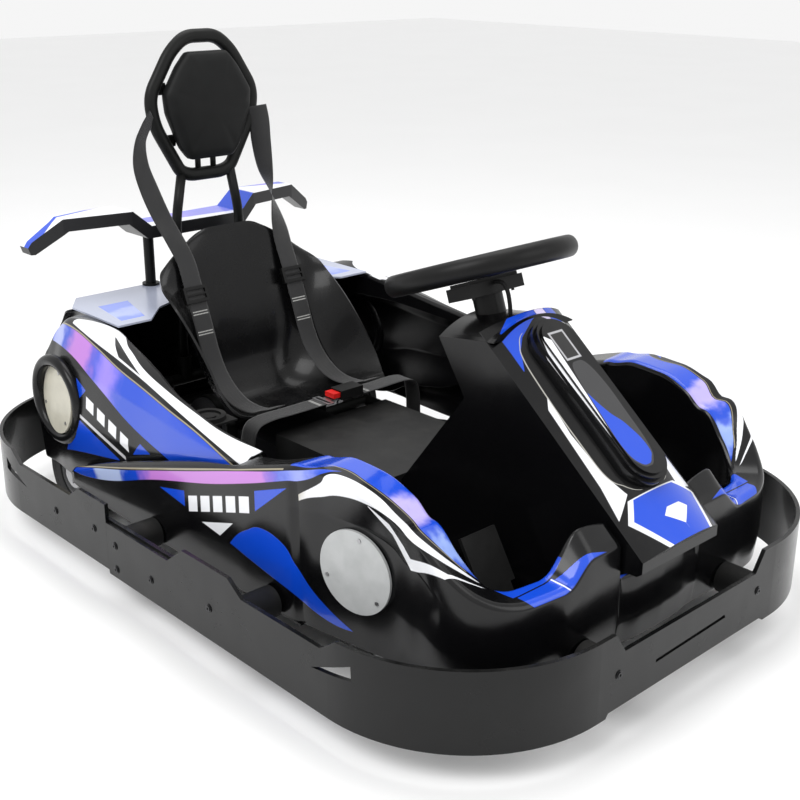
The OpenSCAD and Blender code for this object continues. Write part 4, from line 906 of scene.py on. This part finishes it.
@dataclass
class Body(Kart):
    """The moulded shells with their printed film, the bumper and the wing."""

    surround_radius: float = 86.0
    surround_width: float = 26.0

    def dress_all(self) -> None:
        """Dresses the body."""
        for name, stations in (("front", FRONT_STATIONS), ("rear", REAR_STATIONS)):
            made = Bodywork(f"{name}_bodywork", stations).build()
            self.piece(made, "chassis", "decal_blue", f"{name}_film", f"{name}_shell")
        self.dress("deck_film", "deck_grey", "rear_deck")
        self.dress("nose_film", "decal_blue", "nose_cowl")
        self.dress("capsule_film", "decal_blue", "nose_capsule")
        self.dress("wing_film", "wing_white", "rear_wing")
        self.dress("bumper_black", "bumper_black", "bumper_front", "bumper_rear")
        self.dress("screw_black", "screw_black", "bumper_screws")
        self.dress("lens_grey", "lens_grey", "lens_front_left", "lens_front_right")
        self.dress("lens_cream", "lens_cream", "lens_rear_left", "lens_rear_right")
        for name in ("left", "right"):
            low, high = (np.array(corner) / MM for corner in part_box(f"lens_rear_{name}"))
            ring = Ring(f"lens_surround_{name}", tuple((low + high) / 2), (0.0, 1.0, 0.0),
                        self.surround_radius, self.surround_width, self.surround_width)
            self.piece(ring.build(), "chassis", "tub_black", "tub_black")


@dataclass
class Cabin(Kart):
    """The seat, harness, headrest and steering wheel.

    A harness path's point is x, y, z and the strap's turn, and a seated one is x and z. A point of the
    headrest, whose frame stands at one x, is y and z.
    """

    wheel_centre: tuple[float, float, float] = (298.0, 0.0, 660.0)
    column_tilt: float = 20.0
    rim_radius: float = 162.0
    grip_section: tuple[float, float] = (34.0, 40.0)
    strap_y: float = 135.0
    strap_width: float = 46.0
    seated: Points = ((-456, 553), (-434, 505), (-413, 455), (-395, 409), (-378, 365), (-354, 325),
                      (-318, 293), (-270, 273), (-211, 273), (-166, 290), (-146, 297))
    hung_right: tuple[tuple[float, ...], ...] = (
        (-544.6, -142, 858, -40), (-541, -165, 830, -36), (-538, -180, 800, -28), (-530, -186, 755, -12),
        (-516, -178, 705, 0), (-500, -163, 650, 0), (-476, -148, 600, 0))
    hung_left: tuple[tuple[float, ...], ...] = (
        (-544.6, 138, 858, -165), (-540, 140, 825, -150), (-533, 138, 780, -130), (-519, 137, 720, -103),
        (-507, 143, 668, -62), (-488, 141, 622, -28), (-470, 137, 585, -6))
    lap_x: float = -118.0
    lap_starts: tuple[float, float] = (66.3, 40.3)
    lap_start_z: float = 294.3
    lap_path: Points = ((120, 294.3), (190, 294.3), (222, 282), (233, 240), (235, 170), (236, 106.4))
    head_x: float = -560.0
    hoop_half: Points = ((40, 1017), (80, 985), (137, 895), (128, 833), (68, 728), (42, 718))
    hoop_section: tuple[float, float] = (24.0, 30.0)
    post_path: Points = ((66, 722), (86, 620), (86, 240))
    post_size: float = 22.0
    tab_thick: float = 8.0
    tabs: tuple[tuple[Points, float], ...] = (
        (((96, 910), (130, 910)), 26.0), (((78, 798), (112, 798)), 26.0), (((20.5, 722), (20.5, 780)), 15.0))

    def dress_all(self) -> None:
        """Dresses the hard pieces and builds the soft ones."""
        made = Bucket("seat_bucket", SEAT_ROWS).build()
        self.piece(made, "chassis", "seat_black", "seat_black", "seat_shell")
        self.dress("grip_black", "pad_black", "switch_box", "column_sleeve", "buckle_body", "strap_adjusters",
                   "horn_button")
        self.dress("rim_film", "pad_black", "steering_rim")
        tilt = math.radians(self.column_tilt)
        grip = Ring("rim_grip", self.wheel_centre, (-math.sin(tilt), 0.0, math.cos(tilt)), self.rim_radius,
                    *self.grip_section, 160)
        self.piece(grip.build(), "steering", "pad_black", "grip_black")
        self.dress("button_red", "button_red", "buckle_button")
        self.dress("steel", "steel", "buckle_tongue")
        self.straps()
        self.headrest()

    def straps(self) -> None:
        """Builds the four straps of the harness."""
        web = Webbing("shoulder_webbing", self.strap_width * MM, (0.452, 0.458, 0.497, 0.503)).build()
        for name, side, top in (("right", -1, self.hung_right), ("left", 1, self.hung_left)):
            line = top + tuple((x, side * self.strap_y, z, 0) for x, z in self.seated)
            made = Ribbon(f"shoulder_web_{name}", line, self.strap_width).build()
            self.piece(made, "chassis", "webbing", web, f"shoulder_strap_{name}")
        web = Webbing("lap_webbing", self.strap_width * MM, (0.012, 0.016)).build()
        self.piece(self.lap("left", 1, self.lap_starts[0]), "chassis", "webbing", web, "lap_straps")
        self.piece(self.lap("right", -1, self.lap_starts[1]), "chassis", "webbing", web)

    def lap(self, name: str, side: int, start: float) -> bpy.types.Object:
        """Builds one lap strap, whose width lies along X.

        Args:
            name: left or right.
            side: 1 on the left and -1 on the right.
            start: distance of the strap's inner end from the middle.
        Returns:
            The strap, swept with X and Y swapped and then swapped back.
        """
        path = ((start, self.lap_start_z), *self.lap_path)
        line = tuple((side * y, self.lap_x, z, 0) for y, z in path)
        made = Ribbon(f"lap_web_{name}", line, self.strap_width).build()
        place = np.zeros(len(made.data.vertices) * 3, np.float32)
        made.data.vertices.foreach_get("co", place)
        place = place.reshape(-1, 3)[:, [1, 0, 2]]
        made.data.vertices.foreach_set("co", np.ascontiguousarray(place).ravel())
        made.data.flip_normals()
        return made

    def bars(self, shape: Tube, *stands_for: str) -> None:
        """Adds a part of the headrest's frame."""
        self.piece(shape.build(), "chassis", "frame_black", "frame_black", *stands_for)

    def headrest(self) -> None:
        """Builds the headrest's frame and its pad."""
        ring = self.hoop_half + tuple((-y, z) for y, z in self.hoop_half[::-1])
        self.bars(Tube("headrest_hoop", self.head_x, ring, *self.hoop_section, closed=True), "headrest_frame")
        for side, name in ((1, "left"), (-1, "right")):
            leg = tuple((side * y, z) for y, z in self.post_path)
            self.bars(Tube(f"headrest_post_{name}", self.head_x, leg, self.post_size, self.post_size))
            for number, (path, wide) in enumerate(self.tabs):
                tab = tuple((side * y, z) for y, z in path)
                self.bars(Tube(f"headrest_tab_{name}_{number}", self.head_x, tab, self.tab_thick, wide, 0.0))
        shape = Pad()
        made = shape.build()
        shape.settle(made)
        self.piece(made, "chassis", "pad_black", "pad_black", "headrest_pad")


@dataclass(frozen=True)
class Studio:
    """A pale floor, a white surround, three soft lamps and the camera."""

    place: tuple[float, float, float] = (1.803, -1.617, 1.211)
    heading: float = 136.706
    pitch: float = -20.188
    roll: float = 0.362
    lens: float = 56.03

    def build(self) -> None:
        """Builds the studio."""
        self.floor()
        self.world()
        self.lamp("key", (0.6, -2.6, 3.2), (-0.1, 0.0, 0.3), 2.2, 1.6, 62.0)
        self.lamp("fill", (3.0, 0.9, 1.9), (0.0, 0.0, 0.3), 1.8, 1.8, 16.0)
        self.lamp("top", (-0.5, 0.5, 3.4), (-0.2, 0.0, 0.3), 2.6, 2.0, 44.0)
        self.camera()

    def floor(self) -> None:
        """Builds the floor."""
        reach = np.linspace(-14.0, 14.0, 3)
        x, y = np.meshgrid(reach, reach, indexing="ij")
        made = grid_mesh("floor", np.stack([x, y, np.zeros_like(x)], -1))
        made.data.materials.append(Floor().build())

    def world(self) -> None:
        """Lights the scene from a white surround."""
        world = bpy.data.worlds.new("surround")
        bpy.context.scene.world = world
        world.use_nodes = True
        back = world.node_tree.nodes["Background"]
        back.inputs["Color"].default_value = (1.0, 1.0, 1.0, 1.0)
        back.inputs["Strength"].default_value = 0.92
        bpy.context.scene.view_settings.view_transform = "Standard"

    def lamp(self, name: str, place: tuple[float, float, float], aim: tuple[float, float, float], wide: float,
             tall: float, power: float) -> None:
        """Adds a soft rectangular lamp that points at aim."""
        data = bpy.data.lights.new(name, "AREA")
        data.shape, data.size, data.size_y, data.energy = "RECTANGLE", wide, tall, power
        made = bpy.data.objects.new(name, data)
        made.location = place
        made.rotation_euler = (Vector(aim) - Vector(place)).to_track_quat("-Z", "Y").to_euler()
        bpy.context.scene.collection.objects.link(made)

    def camera(self) -> None:
        """Adds the camera by its heading, pitch and roll."""
        heading, pitch, roll = (math.radians(a) for a in (self.heading, self.pitch, self.roll))
        level = math.cos(pitch)
        ahead = Vector((level * math.cos(heading), level * math.sin(heading), math.sin(pitch)))
        right = ahead.cross(Vector((0, 0, 1))).normalized()
        up = right.cross(ahead)
        along = right * math.cos(roll) + up * math.sin(roll)
        crown = up * math.cos(roll) - right * math.sin(roll)
        data = bpy.data.cameras.new("camera")
        data.lens, data.sensor_width = self.lens, 36.0
        made = bpy.data.objects.new("camera", data)
        turned = Matrix((along, crown, -ahead)).transposed().to_4x4()
        made.matrix_world = Matrix.Translation(self.place) @ turned
        bpy.context.scene.collection.objects.link(made)
        bpy.context.scene.camera = made


def bars(colour: Colour, start: float, pitch: float, count: int, wide: float, tall: float, height: float,
         slope: float) -> tuple[Band, ...]:
    """Draws a row of equal bars along a sloping line.

    Args:
        colour: the bars' colour.
        start: where the first bar starts.
        pitch: distance from one bar to the next.
        count: how many bars.
        wide: length of a bar along the line.
        tall: height of a bar.
        height: height of the line where the first bar starts.
        slope: the line's rise per length.
    Returns:
        The bars.
    """
    made = []
    for k in range(count):
        a = start + k * pitch
        low, high = height + slope * (a - start), height + slope * (a + wide - start)
        made.append(Band(colour, ((a, low - tall), (a + wide, high - tall)), ((a, low), (a + wide, high)),
                         round=False))
    return tuple(made)


# Datum lines of the bodywork, in millimetres
FRONT_AXLE, REAR_AXLE = 446.0, -532.0
MIDDLE = (FRONT_AXLE + REAR_AXLE) / 2
NOSE_END, TAIL_END = 735.0, -674.0
SEAM = FRONT_AXLE - 290.0
HALF, LIP, NOSE_HALF = 460.0, 22.0, 106.0
INNER = HALF - LIP - 2.0
FLOOR, ARCH = 106.0, 248.0
ARCH_TOP = FLOOR + 100.0
# Stations of the front and rear bodywork, from the seam round to the middle
FRONT_STATIONS = (
    (REAR_AXLE + 92, HALF - 1, 0, 0, LIP, 120, 160, 160, 140),
    (REAR_AXLE + 220, HALF - 1, 0, 0, LIP, 110, 210, 210, 188),
    (MIDDLE - 40, HALF, 0, 0, LIP, 106, 286, 286, 262),
    (MIDDLE + 100, HALF, 0, 0, LIP, 106, 328, 328, 304),
    (SEAM - 4, HALF, 0, 0, LIP, 106, 351, 352, 328),
    (SEAM, HALF, 0, 0, 56, 106, 352, 358, 320),
    (FRONT_AXLE - 216, HALF - 2, 0, 0, 62, 106, 378, 374, 330),
    (FRONT_AXLE - ARCH / 2 - 22, HALF - 4, 0, 0, 80, 106, 400, 396, FLOOR),
    (FRONT_AXLE - ARCH / 2 - 1, HALF - 5, 0, 1, 83, 106, 405, 403, FLOOR, 5),
    (FRONT_AXLE - ARCH / 2, HALF - 5, 0, 1, 83, 106, 405, 403, ARCH_TOP, 5),
    (FRONT_AXLE - 62, HALF - 5, 0, 3, 86, 106, 416, 417, ARCH_TOP, 13),
    (FRONT_AXLE + 4, HALF - 5, 0, 4, 88, 106, 415, 414, ARCH_TOP, 23),
    (FRONT_AXLE + 74, HALF - 8, 4, 4, 88, 106, 400, 393, ARCH_TOP, 31),
    (FRONT_AXLE + ARCH / 2, HALF - 14, 10, 4, 84, 106, 374, 366, ARCH_TOP, 24),
    (FRONT_AXLE + ARCH / 2 + 1, HALF - 14, 10, 4, 84, 106, 374, 366, FLOOR, 24),
    (FRONT_AXLE + 186, HALF - 30, 20, 4, 78, 106, 326, 320, FLOOR, 8),
    (NOSE_END - 58, HALF - 58, 38, 3, 72, 106, 288, 286, FLOOR),
    (NOSE_END - 28, HALF - 96, 60, 2, 66, 106, 270, 268, FLOOR),
    (NOSE_END - 12, HALF - 140, 78, 2, 60, 106, 264, 264, FLOOR),
    (NOSE_END - 5, HALF - 200, 86, 2, 58, 106, 264, 264, FLOOR),
    (NOSE_END - 2, HALF - 224, 90, 2, 56, 106, 266, 272, FLOOR),
    (NOSE_END, HALF - 280, 90, 4, 50, 106, 304, 336, FLOOR),
    (NOSE_END, NOSE_HALF + 8, 90, 4, 48, 106, 304, 326, FLOOR),
    (NOSE_END, NOSE_HALF + 4, 90, 4, 48, 106, 240, 240, FLOOR),
    (NOSE_END + 6, NOSE_HALF - 50, 90, 4, 48, 106, 240, 240, FLOOR),
    (NOSE_END + 8, 0, 90, 4, 48, 106, 240, 240, FLOOR),
)
# The rear bodywork
REAR_STATIONS = (
    (SEAM - 4.5, INNER, 0, 8, 50, 318, 358, 362, 336),
    (MIDDLE + 60, INNER, 0, 6, 40, 290, 366, 378, 350),
    (MIDDLE - 40, INNER, 0, 10, 42, 250, 386, 398, 370),
    (MIDDLE - 170, INNER, 0, 30, 66, 190, 418, 424, 390),
    (REAR_AXLE + 190, INNER, 0, 36, 86, 160, 442, 446, 400),
    (REAR_AXLE + 130, INNER, 0, 38, 94, 130, 456, 455, 400),
    (REAR_AXLE + 60, INNER - 1, 0, 40, 99, 116, 464, 455, 400),
    (REAR_AXLE, INNER - 7, -3, 38, 98, 116, 458, 455, 400),
    (REAR_AXLE - 62, INNER - 14, -8, 34, 96, 116, 424, 452, 400),
    (REAR_AXLE - 104, INNER - 14, -26, 26, 88, 116, 372, 450, 400),
    (TAIL_END + 14, HALF - 60, -52, 20, 82, 116, 350, 450, 400),
    (TAIL_END, HALF - 112, -80, 12, 66, 116, 370, 450, 400),
    (TAIL_END, 220, -90, 12, 64, 116, 430, 450, 400),
    (TAIL_END, 0, -90, 12, 64, 116, 440, 450, 400),
)
# The seat, from the front lip to the top of the back
SEAT_ROWS = (
    (-130.0, 290.0, -135.0, 290.0, 0.7),
    (-170.0, 278.0, -160.0, 285.0, 0.86),
    (-230.0, 245.0, -190.0, 290.0, 0.95),
    (-300.0, 228.0, -225.0, 325.0, 1.0),
    (-360.0, 232.0, -262.0, 370.0, 1.0),
    (-400.0, 262.0, -298.0, 408.0, 1.0),
    (-420.0, 310.0, -330.0, 438.0, 1.0),
    (-430.0, 370.0, -362.0, 464.0, 1.0),
    (-440.0, 430.0, -394.0, 487.0, 1.0),
    (-455.0, 500.0, -425.0, 506.0, 1.0),
    (-468.0, 560.0, -455.0, 522.0, 0.95),
    (-478.0, 598.0, -478.0, 535.0, 0.86),
    (-486.0, 612.0, -492.0, 545.0, 0.7),
)
REAR_FILM = (
    Band(BLUE, ((-600, 0), (-491, -20), (-395, -56), (-344, -77), (-235, -121), (-99, -155),
                (152, -214)),
         ((-600, 52), (-494, 46), (-397, 23), (-293, -8), (-217, -24), (-95, -51),
          (-8, -69), (99, -98), (152, -112)),
         # painted reflections on this band: bluish white, pink and lilac sheens
         (Sheen(-620, -520, (0.45, 0.50, 0.85), 30, 0.8), Sheen(-525, -385, SHEEN_PINK, 45, 0.9),
          Sheen(-410, -270, SHEEN_LILAC, 70, 0.8))),
    stripe(GOLD, ((-560, 56), (-494, 51), (-397, 28), (-293, -3), (-217, -19), (-95, -46),
                  (-8, -64), (99, -93), (152, -107)), 5),
    Band(WHITE, ((-505, 60), (-400, 35), (-314, 18), (-224, -2), (-141, -23), (-60, -44),
                 (19, -64), (127, -90), (152, -96)),
         ((-505, 68), (-418, 105), (-307, 62), (-219, 22), (-156, 4), (-33, -22),
          (62, -36), (152, -30))),
    Band(BLACK, ((-367, 75), (-311, 24), (-227, 4)), ((-367, 78), (-300, 44), (-227, 6)),
         round=False),
    Band(BLUE, ((-453, -73), (-439, -119), (-412, -93)), ((-453, -71), (-412, -91)), round=False),
    Band(BLUE, ((-226, -185), (-161, -165)), ((-226, -184), (-196, -152), (-161, -163)),
         round=False),
    stripe((0.62, 0.62, 0.64), ((-443, -152), (-256, -197)), 9, round=False),
    Band(BLUE, ((-511, -256), (-282, -214)), ((-511, -254), (-445, -166), (-282, -212)),
         round=False),
    *bars(WHITE, -410, 46, 4, 32, 30, -104, -0.30),
)
FRONT_FILM = (
    Band(BLUE, ((-440, -303), (-378, -298), (-90, -213), (109, -156), (288, -89), (355, -60),
                (409, -13)),
         ((-440, -290), (-278, -249), (-77, -189), (142, -119), (289, -69), (385, -26),
          (409, -12)),
         # painted reflections on this stripe: bluish white, pink and pale blue sheens
         (Sheen(-345, -215, (0.50, 0.60, 0.90), 30), Sheen(-180, 285, SHEEN_PINK, 60),
          Sheen(255, 385, (0.35, 0.40, 0.88), 60, 0.8))),
    stripe(GOLD, ((-440, -284), (-278, -243), (-77, -183), (142, -113), (289, -63)), 5),
    Band(BLUE, ((300, -52), (358, -34), (403, -3), (464, -11), (522, -23), (590, -53),
                (632, -67), (692, -64)),
         ((300, 80), (692, 80)),
         # painted reflections on this band: mauve and pale blue sheens
         (Sheen(500, 580, (0.60, 0.50, 0.88), 30, 0.75), Sheen(585, 640, (0.45, 0.60, 0.92), 20, 0.6))),
    stripe(GOLD, ((358, -35), (403, -4), (464, -12), (522, -24), (590, -54), (632, -68)), 2.5),
    Band(WHITE, ((322, -110), (374, -83), (433, -62), (487, -57), (538, -62), (603, -85),
                 (646, -74)),
         ((322, -98), (379, -57), (419, -24), (478, -25), (552, -50), (601, -68),
          (646, -72)),
         # a painted beige reflection at this band's rear end
         (Sheen(250, 365, (0.42, 0.38, 0.27), 45, 0.85),)),
    Band(WHITE, ((487, -59), (532, -84), (550, -112), (562, -127), (637, -114), (656, -80)),
         ((487, -57), (532, -70), (556, -93), (566, -108), (637, -100), (656, -76)),
         round=False),
    Band(BLUE, ((132, -264), (230, -281), (296, -291), (382, -305), (433, -297)),
         ((132, -263), (184, -218), (230, -199), (283, -207), (314, -235), (369, -275),
          (433, -296))),
    Band(BLUE, ((-92, -228), (-8, -240)), ((-92, -227), (-8, -207)), round=False),
    Band(BLUE, ((209, -174), (297, -99)), ((209, -134), (297, -98)), round=False),
    Band(WHITE, ((45, -253), (102, -260), (144, -221)), ((45, -252), (144, -220)), round=False),
    *bars(WHITE, 4, 40, 5, 30, 33, -213, 0.33),
    Band(BLUE, ((694, -58), (730, -58)), ((694, 28), (730, 28)), round=False),
    Band(BLUE, ((700, 28), (730, 28)), ((700, 30), (730, 150)), round=False),
    Band(WHITE, ((694, 22), (730, 22)), ((694, 26), (730, 26)), round=False),
)
RIM_LINE = ((14, -40), (33, -60), (60, -70), (110, -74), (250, -75), (300, -73),
            (335, -55), (355, -28))
NOSE_FILM = (
    Band(BLUE, ((-22, -52), (1, -85), (38, -84), (80, -84)),
         ((-22, 13), (-10, 13), (-2, -7), (22, -48), (42, -65), (80, -82)), round=False),
    Band((0.70, 0.62, 0.88), ((-22, 13), (-8, 13), (4, 34)), ((-22, 40), (4, 44)), round=False),
    Band(BLUE, ((-22, 40), (4, 44), (22, 58)), ((-22, 70), (10, 84), (22, 84)), round=False),
    Band(WHITE, ((139, -77), (160, -88), (319, -92), (382, -99)),
         ((139, -75), (215, -80), (303, -74), (345, -62), (350, -60), (382, -98)),
         round=False),
    Band(WHITE, ((10, 62), (60, 74), (290, 78), (340, 62), (378, 56)),
         ((10, 84), (100, 90), (300, 96), (378, 104)), round=False),
    stripe(BEIGE, RIM_LINE, 3),
    Band(BEIGE, tuple((p, -q) for p, q in RIM_LINE), tuple((p, 3.0 - q) for p, q in RIM_LINE)),
    Band(WHITE, ((360, -68), (395, -91), (461, -53)), ((360, 52), (390, 103), (461, 74)),
         round=False),
    Band(BLUE, ((362, -58), (395, -80), (461, -43)), ((362, 44), (390, 92), (461, 64)),
         round=False),
    Band(WHITE, ((398, -8), (410, -24), (436, 8), (446, 8)),
         ((398, 26), (410, 42), (436, 9), (446, 9)), round=False),
)
CAPSULE_FILM = (
    Band(WHITE, ((46, -38), (85, -50), (258, -42)), ((46, -36), (57, -24), (258, -39)),
         round=False),
    Band(GREY, ((42, -24), (104, -24)), ((42, 16), (104, 16)), round=False),
    Band(BLACK, ((46, -20), (100, -20)), ((46, 12), (100, 12)), round=False),
    Band((0.03, 0.03, 0.032), ((108, -4), (118, -22), (160, -31), (215, -38), (294, -41),
                               (322, -28), (330, -6)),
         ((108, -2), (118, 16), (160, 25), (223, 25), (301, 20), (322, 8), (330, -4))),
    Band(BLUE, ((170, -31), (215, -35), (294, -38), (318, -27), (326, -7)),
         ((170, -30), (215, -14), (250, 6), (301, 16), (318, 6), (326, -6))),
)
# The Sheen entries in this table are painted lilac reflections.
WING_FILM = (
    Band(WHITE, ((-400, -780), (400, -780)), ((-400, -560), (400, -560)), round=False),
    Band(BLUE, ((-395, -700), (-330, -690), (-120, -720)), ((-395, -650), (-330, -676), (-120, -716)),
         (Sheen(-260, -120, SHEEN_LILAC, 60, 0.7),), round=False),
    Band((0.16, 0.17, 0.72), ((-110, -690), (120, -700)), ((-110, -640), (120, -625)),
         (Sheen(-80, 40, SHEEN_LILAC, 60, 0.6),), round=False),
    Band(BLUE, ((118, -780), (172, -780)), ((118, -560), (172, -560)), round=False),
    Band(BLUE, ((180, -745), (330, -700)), ((180, -700), (330, -672)),
         (Sheen(200, 330, SHEEN_LILAC, 60, 0.6),), round=False),
)
# The Sheen entry in this table is a painted pale blue reflection.
DECK_FILM = (
    Band((0.16, 0.24, 0.75), ((-560, 225), (-430, 262)), ((-560, 300), (-430, 320)),
         (Sheen(-520, -440, (0.35, 0.42, 0.85), 30),), round=False),
)
RIM_FILM = (Band(WHITE, ((41, -75), (47, -75)), ((41, 75), (47, 75)), round=False),)


def finishes() -> dict[str, bpy.types.Material]:
    """Returns: every finish of the hard pieces, by name."""
    made = (
        Moulded("tub_black", BLACK, 0.28, coat=0.15, waviness=0.08),
        Moulded("bumper_black", (0.0035, 0.0036, 0.0037), 0.24, 500.0, 0.0002, coat=0.15, dust=0.3,
                waviness=0.35),
        Moulded("frame_black", (0.004, 0.0043, 0.004), 0.42, 700.0, 0.0002, dust=0.2),
        Moulded("rubber_black", (0.010, 0.010, 0.010), 0.62, 600.0, 0.0003, dust=0.5),
        Moulded("screw_black", (0.05, 0.05, 0.052), 0.34, metallic=1.0),
        Moulded("lens_grey", (0.40, 0.41, 0.41), 0.32, 500.0, 0.0001, coat=0.15, dust=0.2),
        Moulded("lens_cream", (0.50, 0.48, 0.40), 0.34, 500.0, 0.0001, coat=0.15, dust=0.3),
        Moulded("seat_black", (0.0026, 0.0026, 0.0029), 0.26, 420.0, 0.00025, coat=0.12, dust=0.3),
        Moulded("cover_grey", (0.012, 0.012, 0.012), 0.40, 520.0, 0.00025, dust=0.35),
        Moulded("pad_black", (0.004, 0.0043, 0.0043), 0.55, 380.0, 0.0003, dust=0.3),
        Moulded("grip_black", (0.004, 0.004, 0.004), 0.40, 420.0, 0.0003, dust=0.3),
        Moulded("motor_black", (0.02, 0.02, 0.022), 0.45, 200.0, 0.0004),
        Moulded("button_red", (0.62, 0.012, 0.010), 0.28, coat=0.4),
        Moulded("pedal_black", (0.012, 0.012, 0.012), 0.5, 300.0, 0.0004),
        Metal("steel", (0.45, 0.45, 0.46)),
        Metal("alloy", (0.55, 0.55, 0.56), 0.35),
        Tyre("front_tyre", (0.446, 0.0, 0.09)),
        Tyre("rear_tyre", (-0.532, 0.0, 0.1)),
        Film("front_film", BLACK, Chart.WING_SIDE, FRONT_FILM),
        Film("rear_film", BLACK, Chart.WING_SIDE, REAR_FILM),
        Film("deck_film", (0.42, 0.45, 0.56), Chart.PLAN, DECK_FILM, upward=0.5),
        Film("nose_film", BLACK, Chart.SLOPE, NOSE_FILM, upward=0.25),
        Film("capsule_film", BLACK, Chart.SLOPE, CAPSULE_FILM, upward=0.25, roughness=0.14),
        Film("wing_film", (0.010, 0.010, 0.011), Chart.ACROSS, WING_FILM, upward=0.35, roughness=0.3),
        Film("rim_film", (0.004, 0.004, 0.004), Chart.SLOPE, RIM_FILM, slope=(298.0, 660.0, -20.0),
             roughness=0.42, upward=0.8),
    )
    return {finish.name: finish.build() for finish in made}


def main() -> None:
    """Builds the kart's looks and the studio."""
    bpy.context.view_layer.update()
    looks = finishes()
    for part in (Chassis, Body, Cabin):
        part(frame["nodes"], looks).dress_all()
    Studio().build()


if __name__ == "__main__":
    logging.basicConfig(level=logging.INFO, format="%(message)s")
    main()
